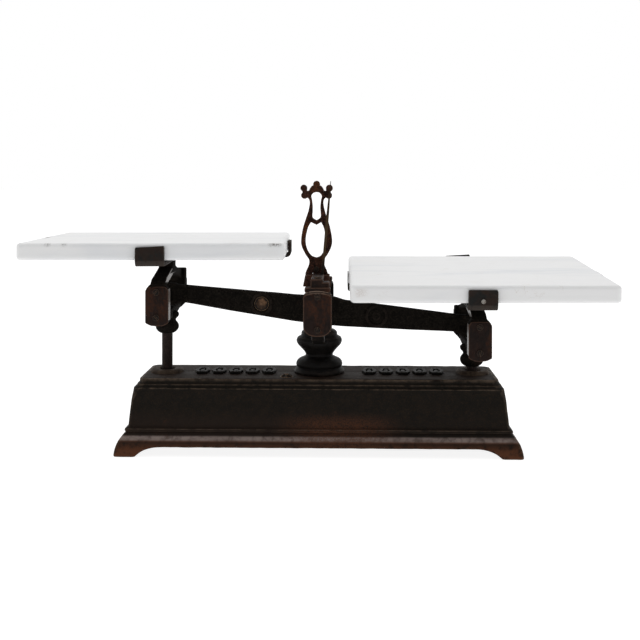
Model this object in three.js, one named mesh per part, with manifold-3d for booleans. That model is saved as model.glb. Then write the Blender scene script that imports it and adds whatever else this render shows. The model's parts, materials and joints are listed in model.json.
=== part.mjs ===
// Equal arm counter scale: a hollow cast base and column, a tilting beam on three knife edges,
// two plate carriers that a lower stay keeps upright, and two loose marble plates.
// Millimetres, +Z up, front towards -Y, origin at the bottom centre of the base.
// It stands with its right side down on its stop, as an empty scale of this kind does.
import * as THREE from 'three';
import { mergeVertices } from 'three/addons/utils/BufferGeometryUtils.js';
import Module from 'manifold-3d';

const wasm = await Module();
wasm.setup();

// Driving dimensions
const GAP = 0.3; // clearance between pieces that touch
const ARM = 184; // centre knife edge to end knife edge
const REST_TILT = THREE.MathUtils.degToRad(6);
const KNIFE_Z = 163; // centre knife edge above the table
const LINK_DROP = 121; // knife edge down to the stay's pin
const BASE_TOP_Z = 85;
const BASE_HALF_X = 208;
const BASE_HALF_Y = 46;
const BASE_CEILING_Z = 79;
const BOSS_TOP_Z = 89.5;
const CHEEK_IN = 60; // inner face of every cheek, from the mid-plane
const CHEEK_OUT = 73.7;
const COVER_THICK = 2.7;
const CHEEK_HALF = 13; // half-width of a carrier's cheek
const FORK_HALF = 16.2; // half-width of the column's cheek
const POCKET_Y = 65; // floor of a bearing pocket
const KNIFE_END = 72;
const BEAM_HALF_Y = 7;
const BEAM_END = 10.5; // beam beyond the end knife edges
const MEDALLION = { along: 69, up: -2.5, radius: 13.4 };
const PLUG_R = 8.6;
const NEEDLE = { y: -3.4, lean: THREE.MathUtils.degToRad(-0.9) };
const PLATE_X = 294.5;
const PLATE_Y = 244;
const PLATE_THICK = { left: 19, right: 19.6 };
const CROSS_THICK = 4;
const CROSS_WIDE = 32;
const CROSS_Z = 41.5; // underside of the cross above the carrier's knife edge
const LUG_TALL = 19.5; // from the cross's underside to a lug's top
const BEND_R = 6.5; // outside of the bend into a lug
const LUG_SCREW_Z = 7.5;
const RIVET_R = 4;
// How each plate and its cross sit on their carrier: moved along X, turned, and leaning forward.
const SEAT = {
  left: { shift: -2.5, yaw: THREE.MathUtils.degToRad(1.9), lean: 0, barShift: 0 },
  right: {
    shift: 0,
    yaw: THREE.MathUtils.degToRad(0.5),
    lean: THREE.MathUtils.degToRad(3.5),
    barShift: -3.5,
  },
};
const STAY_HALF_Y = 11;
const TONGUE_HALF_Y = 3;
const STAY_Z = KNIFE_Z - LINK_DROP;
const STAY_PIN_R = 4;
const ROD_R = 6.3;
const ROD_PIN_R = 2.5;
const ROD_SOCKET_R = 5;
const ROD_X = ARM - 0.6; // middle of the rod's path, which is a little arc
const STUD_R = 8;
const SEAL_AT = { x: -37.5, y: -29 };
const FORK_POCKET = [-9.3, 9.3, 150, 180.5];
const FORK_WINDOW = [-7.6, 7.6, 160.5, 179];
const FORK_SCREWS = [[0, 146.4], [0, 184]];
const CARRIER_POCKET = [-7.6, 7.6, -16, 10];
const CARRIER_WINDOW = [-7.2, 7.2, -14.2, 3.2];
const CARRIER_SCREWS = [[0, -22.5], [0, 6.5]];
const BRIDGE_Z = { foot: 188.3, low: 191, high: 200, top: 203.6, collar: 189 };
const BRIDGE_SCREW_Y = 64.4;
const BRIDGE_BORE_R = 2.1;
const POINTER_X = -3.4;
const POINTER_Y = { front: 4, back: 8 };
const POINTER_SCREW_Z = 208.5;
const SCREW_SHANK_R = 1.7;
const SCREW_FLOOR_Y = 67.8;

// Materials
const CAST_IRON = { color: 0x1a1613, roughness: 0.6, metalness: 0.6 };
const BEAM_IRON = { color: 0x14120f, roughness: 0.55, metalness: 0.6 };
const BROWN_IRON = { color: 0x2b1c15, roughness: 0.5, metalness: 0.6 };
const LUG_STEEL = { color: 0x3a3733, roughness: 0.45, metalness: 0.8 };
const BARE_STEEL = { color: 0x6e6a64, roughness: 0.35, metalness: 0.9 };
const POINTER_BROWN = { color: 0x4a2f24, roughness: 0.6, metalness: 0.6 };
const SCREW_STEEL = { color: 0x3b3029, roughness: 0.45, metalness: 0.8 };
const PLUG_METAL = { color: 0x6b4a3a, roughness: 0.5, metalness: 0.7 };
const MARBLE = { color: 0xe9e8e6, roughness: 0.25, metalness: 0 };

// Solids: joining and cutting
function solidOf(geometry) {
  const bare = geometry.clone();
  bare.deleteAttribute('normal');
  bare.deleteAttribute('uv');
  const merged = mergeVertices(bare, 1e-4);
  const kept = [];
  const corners = merged.index.array;
  for (let i = 0; i < corners.length; i += 3) {
    const [a, b, c] = corners.slice(i, i + 3);
    if (a !== b && b !== c && c !== a) kept.push(a, b, c);
  }
  return new wasm.Manifold(
    new wasm.Mesh({
      numProp: 3,
      vertProperties: new Float32Array(merged.attributes.position.array),
      triVerts: new Uint32Array(kept),
    }),
  );
}

function geometryOf(solid) {
  const mesh = solid.getMesh();
  const geometry = new THREE.BufferGeometry();
  geometry.setAttribute('position', new THREE.BufferAttribute(mesh.vertProperties, 3));
  geometry.setIndex(new THREE.BufferAttribute(mesh.triVerts, 1));
  geometry.computeVertexNormals();
  return geometry;
}

function join(first, ...others) {
  return geometryOf(others.reduce((sum, piece) => sum.add(solidOf(piece)), solidOf(first)));
}

function cut(first, ...tools) {
  return geometryOf(tools.reduce((rest, tool) => rest.subtract(solidOf(tool)), solidOf(first)));
}

// Drawings: closed outlines
function outline(points) {
  return new THREE.Shape(points.map(([across, up]) => new THREE.Vector2(across, up)));
}

/** The whole outline, from its right half; a point on the axis is used once. */
function mirrored(rightHalf) {
  const leftHalf = rightHalf.filter(([across]) => across > 0).map(([across, up]) => [-across, up]);
  return [...rightHalf, ...leftHalf.reverse()];
}

function discAt(radius, across = 0, up = 0) {
  return new THREE.Shape().absarc(across, up, radius, 0, 2 * Math.PI);
}

function rectangle(left, right, bottom, top) {
  return outline([[left, bottom], [right, bottom], [right, top], [left, top]]);
}

function roundedRectangle(width, height, radius) {
  const [x, y] = [width / 2 - radius, height / 2 - radius];
  const shape = new THREE.Shape();
  shape.absarc(x, -y, radius, -Math.PI / 2, 0);
  shape.absarc(x, y, radius, 0, Math.PI / 2);
  shape.absarc(-x, y, radius, Math.PI / 2, Math.PI);
  shape.absarc(-x, -y, radius, Math.PI, 1.5 * Math.PI);
  return shape;
}

// Solids from drawings. A front drawing is in X-Z, a side drawing in Y-Z, a top drawing in X-Y.
const AXES = {
  front: [[1, 0, 0], [0, 0, 1], [0, -1, 0]],
  side: [[0, 1, 0], [0, 0, 1], [1, 0, 0]],
  top: [[1, 0, 0], [0, 1, 0], [0, 0, 1]],
};

function drawn(view, shape, from, to, curveSegments = 6) {
  const geometry = new THREE.ExtrudeGeometry(shape, {
    depth: to - from,
    bevelEnabled: false,
    curveSegments,
  });
  const [across, up, depth] = AXES[view].map((axis) => new THREE.Vector3(...axis));
  geometry.applyMatrix4(new THREE.Matrix4().makeBasis(across, up, depth));
  const start = view === 'front' ? -to : from;
  return geometry.translate(...depth.multiplyScalar(start).toArray());
}

/** A solid turned about a vertical axis; the profile is [radius, height] from the bottom up. */
function turned(profile, segments = 24) {
  const points = profile.map(([radius, height]) => new THREE.Vector2(radius, height));
  return new THREE.LatheGeometry(points, segments).rotateX(Math.PI / 2);
}

/** A round bar along Y. */
function roundBar(radius, from, to, x = 0, z = 0, segments = 16) {
  return drawn('front', discAt(radius, x, z), from, to, segments / 2);
}

/** A moulding swept round a rectangular plan; the profile is [outset from the plan, height]. */
function moulded(profile, halfX, halfY, cornerRadius) {
  const perCorner = 3;
  const points = profile.map(([outset, height]) => new THREE.Vector2(halfY + outset, height));
  const firstAngle = Math.PI / (4 * perCorner);
  const geometry = new THREE.LatheGeometry(points, 4 * perCorner, firstAngle).rotateX(Math.PI / 2);
  const place = geometry.attributes.position;
  for (let i = 0; i < place.count; i += 1) {
    const [x, y] = [place.getX(i), place.getY(i)];
    const reach = Math.hypot(x, y);
    if (reach > 0.01) {
      const outset = reach - halfY;
      const corner = cornerRadius / (reach * Math.cos(firstAngle));
      place.setX(i, Math.sign(x) * (halfX + outset - cornerRadius) + x * corner);
      place.setY(i, Math.sign(y) * (halfY + outset - cornerRadius) + y * corner);
    }
  }
  return geometry;
}

function addPiece(parent, name, geometry, finish) {
  const mesh = new THREE.Mesh(geometry, new THREE.MeshStandardMaterial(finish));
  mesh.name = name;
  parent.add(mesh);
  return mesh;
}

function addGroup(parent, x, z) {
  const group = new THREE.Group();
  group.position.set(x, 0, z);
  parent.add(group);
  return group;
}

// Base
function apronCut(view, footInner, curveRun, reach) {
  const rise = 11;
  const shape = new THREE.Shape();
  shape.moveTo(-footInner, -2);
  shape.lineTo(footInner, -2);
  shape.lineTo(footInner, 0);
  shape.quadraticCurveTo(footInner - curveRun / 3, rise, footInner - curveRun, rise);
  shape.lineTo(curveRun - footInner, rise);
  shape.quadraticCurveTo(curveRun / 3 - footInner, rise, -footInner, 0);
  return drawn(view, shape, -reach, reach);
}

function ornamentRow(side) {
  const [halfWide, halfDeep, centreY, raised] = [6.8, 12.5, -2, 3.5];
  const lozenges = [];
  for (let place = 0; place < 5; place += 1) {
    const x = side * (60 + 20 * place);
    const shape = outline([
      [x - halfWide, centreY],
      [x - halfWide / 3, centreY - halfDeep],
      [x + halfWide / 3, centreY - halfDeep],
      [x + halfWide, centreY],
      [x + halfWide / 3, centreY + halfDeep],
      [x - halfWide / 3, centreY + halfDeep],
    ]);
    lozenges.push(drawn('top', shape, BASE_TOP_Z - 1, BASE_TOP_Z + raised));
  }
  return lozenges;
}

function rodBoss(side) {
  const profile = [[0, 83], [20, 83], [19.6, BOSS_TOP_Z - 1.6], [17.5, BOSS_TOP_Z], [0, BOSS_TOP_Z]];
  return turned(profile, 28).translate(side * ROD_X, 0, 0);
}

/** An upright round hole cutter. */
function upright(radius, from, to, segments = 16) {
  return turned([[0, from], [radius, from], [radius, to], [0, to]], segments);
}

function baseCasting() {
  const outer = [
    [25.6, 0], [25.6, 2.6], [24, 10], [21.9, 16.4], [17.4, 22.6], [13.6, 26], [14.8, 27.4],
    [14.8, 29.6], [12.4, 31], [11.5, 31.4], [7, 74.8], [5.8, 75.6], [5.8, 78.6], [3.4, 79.4],
    [3.4, 82.2], [1, 82.6], [1, 84.2], [0, BASE_TOP_Z],
  ];
  const inner = [[-3, BASE_CEILING_Z], [1, 72], [5, 33], [8, 25.5], [14.6, 16.5], [18.4, 9], [19.8, 0]];
  const shell = moulded(
    [[-BASE_HALF_Y, BASE_CEILING_Z], ...inner, ...outer, [-BASE_HALF_Y, BASE_TOP_Z]],
    BASE_HALF_X,
    BASE_HALF_Y,
    3,
  );
  const raised = [...ornamentRow(-1), ...ornamentRow(1), rodBoss(-1), rodBoss(1)];
  const rodHoles = [-1, 1].map((side) => upright(ROD_R + 3.2, 70, 100, 24).translate(side * ROD_X, 0, 0));
  return cut(
    join(shell, ...raised),
    ...rodHoles,
    upright(STUD_R + GAP, 70, 100, 20),
    upright(5.2 + GAP, 84, 90).translate(SEAL_AT.x, SEAL_AT.y, 0),
    apronCut('front', 209, 27, 120),
    apronCut('side', 49, 20, 300),
  );
}

function sealPlug() {
  const profile = [
    [0, 84.3], [5.2, 84.3], [5.2, 85.3], [8, 85.3], [8, 87.2], [6.2, 88.6], [5, 87.6], [0, 88.4],
  ];
  return turned(profile, 20).translate(SEAL_AT.x, SEAL_AT.y, 0);
}

// Column
function columnCasting() {
  const profile = [
    [0, 85.3], [29.8, 85.3], [30.2, 87], [29.4, 89.8], [27.4, 91.4], [26.4, 92.4], [27.6, 94],
    [27.8, 96.4], [26.8, 99], [24.2, 101.8], [19.6, 104], [16.6, 105.6], [16.3, 107.6], [17.6, 110],
    [21.4, 114.6], [25.6, 119.2], [27.2, 122.4], [27.2, 124.8], [26, 127.4], [21.8, 130],
    [21.2, 133.6], [18.6, 136.5], [0, 136.5],
  ];
  const forkHalf = 7.4;
  const fork = outline(mirrored([
    [0, 120], [17, 120], [58, 132], [CHEEK_OUT, 143], [CHEEK_OUT, 168], [CHEEK_IN, 168],
    [CHEEK_IN, 150], [50, 142], [14, 137.5], [0, 137.5],
  ]));
  const body = join(
    turned(profile, 32),
    drawn('side', fork, -forkHalf, forkHalf),
    drawn('front', forkCheek(), -CHEEK_OUT, -CHEEK_IN),
    drawn('front', forkCheek(), CHEEK_IN, CHEEK_OUT),
  );
  const tools = [upright(STUD_R + GAP, 80, 118)];
  for (const side of [-1, 1]) {
    tools.push(pocket(side, FORK_POCKET), knifeWindow(side, FORK_WINDOW));
    for (const [x, z] of FORK_SCREWS) tools.push(screwHole(side, x, z));
    tools.push(upright(BRIDGE_BORE_R, 178, 200, 12).translate(0, side * BRIDGE_SCREW_Y, 0));
  }
  return cut(body, ...tools);
}

function forkCheek() {
  return outline(mirrored([
    [0, 139.5], [9.5, 139.5], [FORK_HALF, 146], [FORK_HALF, 185], [13.5, 188], [0, 188],
  ]));
}

function pocket(side, [left, right, bottom, top]) {
  const [near, far] = side < 0 ? [-CHEEK_OUT - 1, -POCKET_Y] : [POCKET_Y, CHEEK_OUT + 1];
  return drawn('front', rectangle(left, right, bottom, top), near, far);
}

function knifeWindow(side, [left, right, bottom, top]) {
  const [near, far] = side < 0 ? [-POCKET_Y - 1, -CHEEK_IN + 1] : [CHEEK_IN - 1, POCKET_Y + 1];
  return drawn('front', rectangle(left, right, bottom, top), near, far);
}

function screwHole(side, x, z) {
  const [near, far] = side < 0 ? [-90, -SCREW_FLOOR_Y] : [SCREW_FLOOR_Y, 90];
  return roundBar(SCREW_SHANK_R + GAP, near, far, x, z, 12);
}

/** A slotted cheese-head screw; head outwards, shank towards -depth, made along +Z. */
function screw(headR, headTall, shankR, shankLong, slotAngle) {
  const body = turned([
    [0, -shankLong], [shankR, -shankLong], [shankR, 0], [headR, 0],
    [headR, headTall * 0.6], [headR * 0.8, headTall], [0, headTall],
  ], 12);
  const slot = rectangle(-headR - 1, headR + 1, -headR / 7, headR / 7);
  return cut(body, drawn('top', slot, headTall * 0.5, headTall + 1).rotateZ(slotAngle));
}

/** The same screw, its head facing the front (side -1) or the back (side 1). */
function coverScrew(side, x, z, slotAngle) {
  const turn = side < 0 ? Math.PI / 2 : -Math.PI / 2;
  const head = side * (CHEEK_OUT + COVER_THICK + 2 * GAP);
  return screw(3.6, 1.6, SCREW_SHANK_R, 8.5, slotAngle).rotateX(turn).translate(x, head, z);
}

function coverPlate(side, shape, screws) {
  const near = CHEEK_OUT + GAP;
  const [from, to] = side < 0 ? [-near - COVER_THICK, -near] : [near, near + COVER_THICK];
  const holes = screws.map(([x, z]) => roundBar(SCREW_SHANK_R + GAP, -90, 90, x, z, 12));
  return cut(drawn('front', shape, from, to), ...holes);
}

function forkCoverShape() {
  const shape = new THREE.Shape();
  shape.moveTo(-11.5, 138.8);
  shape.lineTo(11.5, 138.8);
  shape.lineTo(FORK_HALF, 144);
  shape.lineTo(FORK_HALF, 185.6);
  shape.quadraticCurveTo(9, 190.4, 0, 190.6);
  shape.quadraticCurveTo(-9, 190.4, -FORK_HALF, 185.6);
  shape.lineTo(-FORK_HALF, 144);
  return shape;
}

function centreBearing(side) {
  const [foot, apex, brim] = [150.3, KNIFE_Z - GAP, 168];
  const shape = outline([[-9, foot], [9, foot], [9, brim], [0, apex], [-9, brim]]);
  const [from, to] = side < 0 ? [-72.8, -65.3] : [65.3, 72.8];
  return drawn('front', shape, from, to);
}

function columnStud() {
  return turned([[0, 59], [STUD_R - 1, 59], [STUD_R, 60.5], [STUD_R, 117.5], [0, 117.5]], 20);
}

function studWasher() {
  const [inner, outer] = [STUD_R + GAP, 12.2];
  return turned([[inner, 70.4], [outer, 70.4], [outer, 72.6], [inner, 72.6], [inner, 70.4]], 24);
}

function studNut() {
  const hexagon = [0, 1, 2, 3, 4, 5].map((i) => [
    13 * Math.cos((i * Math.PI) / 3),
    13 * Math.sin((i * Math.PI) / 3),
  ]);
  return cut(drawn('top', outline(hexagon), 61, 70.1), upright(STUD_R + GAP, 50, 80, 20));
}

function stayBracket() {
  const [legIn, legOut, foot] = [13, 17.5, STAY_Z - 9];
  const side = outline([
    [-legOut, foot], [-legIn, foot], [-legIn, 73], [legIn, 73], [legIn, foot],
    [legOut, foot], [legOut, 78.7], [-legOut, 78.7],
  ]);
  return cut(
    drawn('side', side, -15, 15),
    upright(STUD_R + GAP, 60, 90, 20),
    roundBar(STAY_PIN_R + GAP, -30, 30, 0, STAY_Z),
  );
}

function stayPin() {
  const head = roundBar(6.5, -21, -17.8, 0, STAY_Z);
  return join(roundBar(STAY_PIN_R, -20, 20.5, 0, STAY_Z), head);
}

// Bridge and pointer frame on top of the column
/** Half of the bar over the column, in a side drawing: side -1 is the front half. */
function bridgeArm(side) {
  const { foot, low, high, top } = BRIDGE_Z;
  const end = CHEEK_OUT - 2.5;
  const half = [
    [0, high - 3], [50, high - 3], [57, low + 1.5], [CHEEK_IN - 1, foot], [end, foot], [end, top], [0, top],
  ];
  return drawn('side', outline(half.map(([across, up]) => [side * across, up])), -8, 6);
}

function bridgeBar() {
  const { foot, collar, top } = BRIDGE_Z;
  const pieces = [bridgeArm(-1), bridgeArm(1)];
  for (const side of [-1, 1]) {
    const [from, to] = side < 0 ? [-CHEEK_OUT, -CHEEK_IN] : [CHEEK_IN, CHEEK_OUT];
    pieces.push(drawn('front', rectangle(-13.2, 14.2, foot, 196), from, to));
  }
  const frontBlock = rectangle(-5.2, 13.4, foot, top);
  pieces.push(drawn('front', frontBlock, 2.5 - CHEEK_OUT, -48));
  const saddle = outline([
    [-17.6, collar], [13, collar], [13.2, 193], [10, top - 0.8], [-16.4, top - 0.8], [-18, 194],
  ]);
  pieces.push(drawn('front', saddle, -14, 9));
  const window = rectangle(-11.5, 11.5, -8.5, 3.2);
  const bores = [-1, 1].map((side) =>
    upright(BRIDGE_BORE_R, 180, 210, 12).translate(0, side * BRIDGE_SCREW_Y, 0));
  return cut(join(...pieces), drawn('top', window, 180, 210), pointerSlot(), ...bores);
}

/** The blind slot in the bridge's collar that the pointer frame's foot stands in. */
function pointerSlot() {
  const half = 6 + GAP;
  const { front, back } = POINTER_Y;
  return drawn('top', rectangle(POINTER_X - half, POINTER_X + half, front - GAP, back + GAP), 194, 210);
}

/** A crowned lyre drawn about its own middle, with a tang below its bell. */
function pointerOutline() {
  const flank = [
    [9.4, 213], [8.6, 216.5], [9.6, 221], [13.8, 227], [17.6, 235], [18.6, 243], [16.9, 255],
    [13.8, 266], [9.6, 278], [7.9, 287], [8.6, 294],
  ];
  const crown = [[9, 301.5], [8, 305], [5, 309], [0, 311], [-5, 309], [-8, 305], [-9, 301.5], [-13.5, 300]];
  const shape = new THREE.Shape();
  shape.moveTo(-13.4, 204);
  shape.lineTo(-6, 204);
  shape.lineTo(-6, 195);
  shape.lineTo(6, 195);
  shape.lineTo(6, 204);
  shape.lineTo(13.4, 204);
  shape.splineThru(points(flank));
  shape.lineTo(13.5, 294.5);
  shape.lineTo(13.5, 300);
  shape.splineThru(points(crown));
  shape.lineTo(-13.5, 294.5);
  shape.lineTo(-8.6, 294);
  shape.splineThru(points([...flank.slice(0, -1).map(([x, z]) => [-x, z]).reverse(), [-13.4, 204]]));
  shape.holes.push(lowerWindow(), upperWindow());
  return shape;
}

function pointerFrame() {
  const { front, back } = POINTER_Y;
  const pieces = [drawn('front', pointerOutline(), front, back, 2)];
  const balls = [[15.4, 306.2], [-15.4, 306.2], [14.6, 297.4], [-14.6, 297.4], [0, 311.6]];
  for (const [x, z] of balls) pieces.push(roundBar(3.8, front - 0.4, back + 0.4, x, z, 12));
  for (const side of [-1, 1]) {
    pieces.push(drawn('front', rectangle(side * 14.4 - 1.8, side * 14.4 + 1.8, 298, 305), front, back));
  }
  const screwThrough = roundBar(SCREW_SHANK_R + GAP, 0, 20, 0, POINTER_SCREW_Z, 12);
  return cut(join(...pieces), screwThrough).translate(POINTER_X, 0, 0);
}

function points(list) {
  return list.map(([across, up]) => new THREE.Vector2(across, up));
}

function lowerWindow() {
  const hole = new THREE.Path();
  hole.moveTo(0, 222.6);
  hole.splineThru(points([[6, 224.8], [11, 232], [13.2, 241], [12.4, 250], [10.2, 259], [6.7, 265]]));
  hole.lineTo(0, 261.7);
  hole.lineTo(-6.7, 265);
  hole.splineThru(points([[-10.2, 259], [-12.4, 250], [-13.2, 241], [-11, 232], [-6, 224.8], [0, 222.6]]));
  return hole;
}

function upperWindow() {
  const hole = new THREE.Path();
  hole.moveTo(0, 267.6);
  hole.splineThru(points([[5, 271.6], [4.5, 282], [5.2, 291], [6.3, 297.6], [3.4, 300.4], [0, 301.4]]));
  hole.splineThru(points([[-3.4, 300.4], [-6.3, 297.6], [-5.2, 291], [-4.5, 282], [-5, 271.6], [0, 267.6]]));
  return hole;
}

/** The screw that holds the pointer frame's bell; it only passes through the bell. */
function pointerScrew() {
  const body = screw(3.2, 1.5, SCREW_SHANK_R, 5.5, 0.5).rotateX(Math.PI / 2);
  return body.translate(POINTER_X, POINTER_Y.front - GAP, POINTER_SCREW_Z);
}

function bridgeScrew(side) {
  const top = BRIDGE_Z.top + GAP;
  return screw(3.8, 2, SCREW_SHANK_R, 20, side * 0.7).translate(0, side * BRIDGE_SCREW_Y, top);
}

// Beam, drawn about its own centre knife edge with the arms level
function beamHalf(side) {
  const crest = side > 0 ? [[19, 14.2], [29, 11.9]] : [[14, 13], [28, 12.2]];
  const half = [
    [0, 15], [12, 15], ...crest, [153, 9.6], [172, 9.4], [178, 10.6], [ARM + 5, 10.6],
    [ARM + BEAM_END, 6], [ARM + BEAM_END, -9], [ARM + 5, -15.5], [ARM - 10, -15.5], [164, -10.8],
    [150, -11.6], [110, -14.4], [30, -19], [0, -19.5],
  ];
  return outline(half.map(([along, up]) => [side * along, up]));
}

/** Section of a knife: edge down in the middle of the beam, edge up at its ends. */
function knifeSection(edgeUp, clearance = 0) {
  const [half, flank, back] = edgeUp ? [4.5, -7.8, -12] : [5, 8.66, 10.5];
  const way = Math.sign(back);
  const [wide, top] = [half + clearance, back + way * clearance];
  if (clearance === 0) return [[-wide, top], [-wide, flank], [0, 0], [wide, flank], [wide, top]];
  const edge = -way * clearance;
  return [[-wide, top], [-wide, flank], [-clearance, edge], [clearance, edge], [wide, flank], [wide, top]];
}

function knife(edgeUp) {
  return drawn('front', outline(knifeSection(edgeUp)), -KNIFE_END, KNIFE_END);
}

function knifeBore(edgeUp, along) {
  const section = knifeSection(edgeUp, GAP).map(([x, z]) => [x + along, z]);
  return drawn('front', outline(section), -20, 20);
}

function medallion(side) {
  const at = [side * MEDALLION.along, MEDALLION.up];
  const ring = discAt(MEDALLION.radius, ...at);
  ring.holes.push(discAt(MEDALLION.radius - 3.4, ...at));
  return drawn('front', ring, -BEAM_HALF_Y - 2, -BEAM_HALF_Y + 1, 14);
}

/** A round bar along Y at one of the beam's medallions. */
function medallionBar(side, radius, from, to, segments) {
  return roundBar(radius, from, to, side * MEDALLION.along, MEDALLION.up, segments);
}

function beamCasting() {
  const face = -BEAM_HALF_Y;
  const arms = [-1, 1].map((side) => drawn('front', beamHalf(side), -BEAM_HALF_Y, BEAM_HALF_Y));
  const rings = [-1, 1].map(medallion);
  const needleHole = upright(2.3, 12, 30, 12).translate(0, NEEDLE.y, 0);
  return cut(
    join(...arms, ...rings, medallionBar(1, 5, face - 1.2, face + 1, 16)),
    knifeBore(false, 0),
    knifeBore(true, -ARM),
    knifeBore(true, ARM),
    medallionBar(-1, PLUG_R + GAP, face - 3, face + 3, 24),
    needleHole,
  );
}

function verificationPlug() {
  const disc = turned([[0, -2.6], [PLUG_R, -2.6], [PLUG_R, 0.6], [PLUG_R * 0.72, 1.8], [0, 2.4]], 20);
  const dents = [0, 1, 2, 3, 4, 5].map((i) => {
    const angle = (i * Math.PI) / 3;
    const wedge = drawn('top', rectangle(PLUG_R * 0.45, PLUG_R * 0.95, -0.7, 0.7), 1, 4);
    return wedge.rotateZ(angle);
  });
  const plug = cut(disc, ...dents).rotateX(Math.PI / 2);
  return plug.translate(-MEDALLION.along, -BEAM_HALF_Y, MEDALLION.up);
}

function needle() {
  const [foot, tip] = [15.4, 152.6];
  const halfBlade = [[0.5, tip], [1.1, 125], [1.8, 70], [2.2, foot + 7]];
  const blade = outline([...halfBlade, ...halfBlade.map(([x, z]) => [-x, z]).reverse()]);
  const shank = turned([
    [0, 12.4], [2, 12.4], [2, foot], [4.4, foot], [4.4, foot + 4], [3, foot + 8.5], [0, foot + 8.5],
  ], 12);
  return join(drawn('front', blade, -1.1, 1.1).translate(0, 0, -foot).rotateY(NEEDLE.lean)
    .translate(0, 0, foot), shank).translate(0, NEEDLE.y, 0);
}

// Carriers, drawn about their own knife edge
function stirrupBow(hubTop) {
  const hubHalfY = 12;
  const half = [
    [hubHalfY, hubTop], [hubHalfY, 30], [38, 25], [60, 21], [69, 17], [CHEEK_OUT, 11], [CHEEK_OUT, -22],
    [62, -28], [12, -31],
  ];
  const bow = outline([...half.reverse(), ...half.map(([across, up]) => [-across, up]).reverse()]);
  const inside = [[52, -19.5], [CHEEK_IN, -15], [CHEEK_IN, 9], [52, 15], [34, 18.4], [10, 21]];
  bow.holes.push(outline([...inside, ...inside.map(([across, up]) => [-across, up]).reverse()]));
  return bow;
}

function stirrup(lean) {
  const hubHalfX = 8.5;
  const rivetHoleR = RIVET_R + GAP + lean;
  const cheekTop = [[CHEEK_HALF, 9.5], [hubHalfX, 15]];
  const longCheek = outline(mirrored([[0, -31], [8, -30.6], [CHEEK_HALF, -28], ...cheekTop]));
  const shortCheek = outline(mirrored([[6, -28.2], [CHEEK_HALF, -20], ...cheekTop]));
  const bead = [
    [0, -36.7], [11.4, -36.7], [10.4, -35.2], [10.6, -33], [12.8, -31], [14, -28.6], [13.6, -26], [11, -24],
    [0, -24],
  ];
  const body = join(
    drawn('side', stirrupBow(CROSS_Z - GAP - lean), -hubHalfX, hubHalfX),
    drawn('front', longCheek, -CHEEK_OUT, -CHEEK_IN),
    drawn('front', shortCheek, CHEEK_IN, CHEEK_OUT),
    turned(bead, 24),
  );
  const tools = [upright(ROD_SOCKET_R, -50, -23), upright(rivetHoleR, 25, 60, 14)];
  for (const side of [-1, 1]) {
    tools.push(pocket(side, CARRIER_POCKET), knifeWindow(side, CARRIER_WINDOW));
    for (const [x, z] of CARRIER_SCREWS) tools.push(screwHole(side, x, z));
  }
  return cut(body, ...tools);
}

function carrierBearing(side) {
  const [apex, brim, top] = [GAP, -3.9, 2.9];
  const shape = outline([[-7.3, brim], [0, apex], [7.3, brim], [7.3, top], [-7.3, top]]);
  const [from, to] = side < 0 ? [-72.8, -65.3] : [65.3, 72.8];
  return drawn('front', shape, from, to);
}

function carrierCoverShape(side) {
  const foot = side < 0 ? [[0, -32.4], [7, -31.8], [13.2, -28.8]] : [[5.5, -28.6], [13.2, -21]];
  return outline(mirrored([...foot, [13.2, 8.5], [9.5, 12.6]]));
}

function carrierRod() {
  const [collarR, spigotR, spigotTop] = [13.9, ROD_SOCKET_R - GAP, -23.3];
  const round = turned([
    [0, -111], [ROD_R, -111], [ROD_R, -50.5], [8.6, -49.8], [12.4, -46.6], [collarR, -43], [13.4, -39.6],
    [11.6, -37], [spigotR, -37], [spigotR, spigotTop], [0, spigotTop],
  ], 24);
  const tongue = drawn('front', rectangle(-ROD_R, ROD_R, -128, -109), -TONGUE_HALF_Y, TONGUE_HALF_Y);
  return cut(join(round, tongue), roundBar(ROD_PIN_R + GAP, -20, 20, 0, -LINK_DROP));
}

function rodPin() {
  return roundBar(ROD_PIN_R, -10.4, 10.4, 0, -LINK_DROP);
}

// Plate crosses and marble plates, drawn about the cross's underside
/** A flat bar bent up at both ends, seen along its width. */
function upturnedBar(inner) {
  const outer = inner + CROSS_THICK;
  const innerR = BEND_R - CROSS_THICK;
  const [shape, turn] = [new THREE.Shape(), Math.PI / 2];
  shape.absarc(outer - BEND_R, BEND_R, BEND_R, -turn, 0);
  shape.lineTo(outer, LUG_TALL);
  shape.lineTo(inner, LUG_TALL);
  shape.absarc(inner - innerR, BEND_R, innerR, 0, -turn, true);
  shape.absarc(innerR - inner, BEND_R, innerR, -turn, -2 * turn, true);
  shape.lineTo(-inner, LUG_TALL);
  shape.lineTo(-outer, LUG_TALL);
  shape.absarc(BEND_R - outer, BEND_R, BEND_R, -2 * turn, -turn);
  return shape;
}

function plateCross({ shift, barShift }, lugScrew) {
  const [innerX, innerY] = [PLATE_X / 2 + 2 * GAP, PLATE_Y / 2 + 2 * GAP];
  const half = CROSS_WIDE / 2;
  const body = join(
    drawn('side', upturnedBar(innerY), barShift - half, barShift + half),
    drawn('front', upturnedBar(innerX), -half, half),
  );
  const countersink = [
    [0, -5], [RIVET_R + GAP, -5], [RIVET_R + GAP, 1.6], [7.4, CROSS_THICK + 0.1], [7.4, 9], [0, 9],
  ];
  const tools = [turned(countersink, 20).translate(-shift, 0, 0)];
  if (lugScrew) tools.push(roundBar(1.4 + GAP, -140, -110, barShift, LUG_SCREW_Z, 12));
  return cut(body, ...tools);
}

function lugScrewPiece(barShift) {
  const face = -(PLATE_Y / 2 + 2 * GAP + CROSS_THICK + GAP);
  return screw(3, 1.3, 1.4, 4, 1).rotateX(Math.PI / 2).translate(barShift, face, LUG_SCREW_Z);
}

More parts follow.
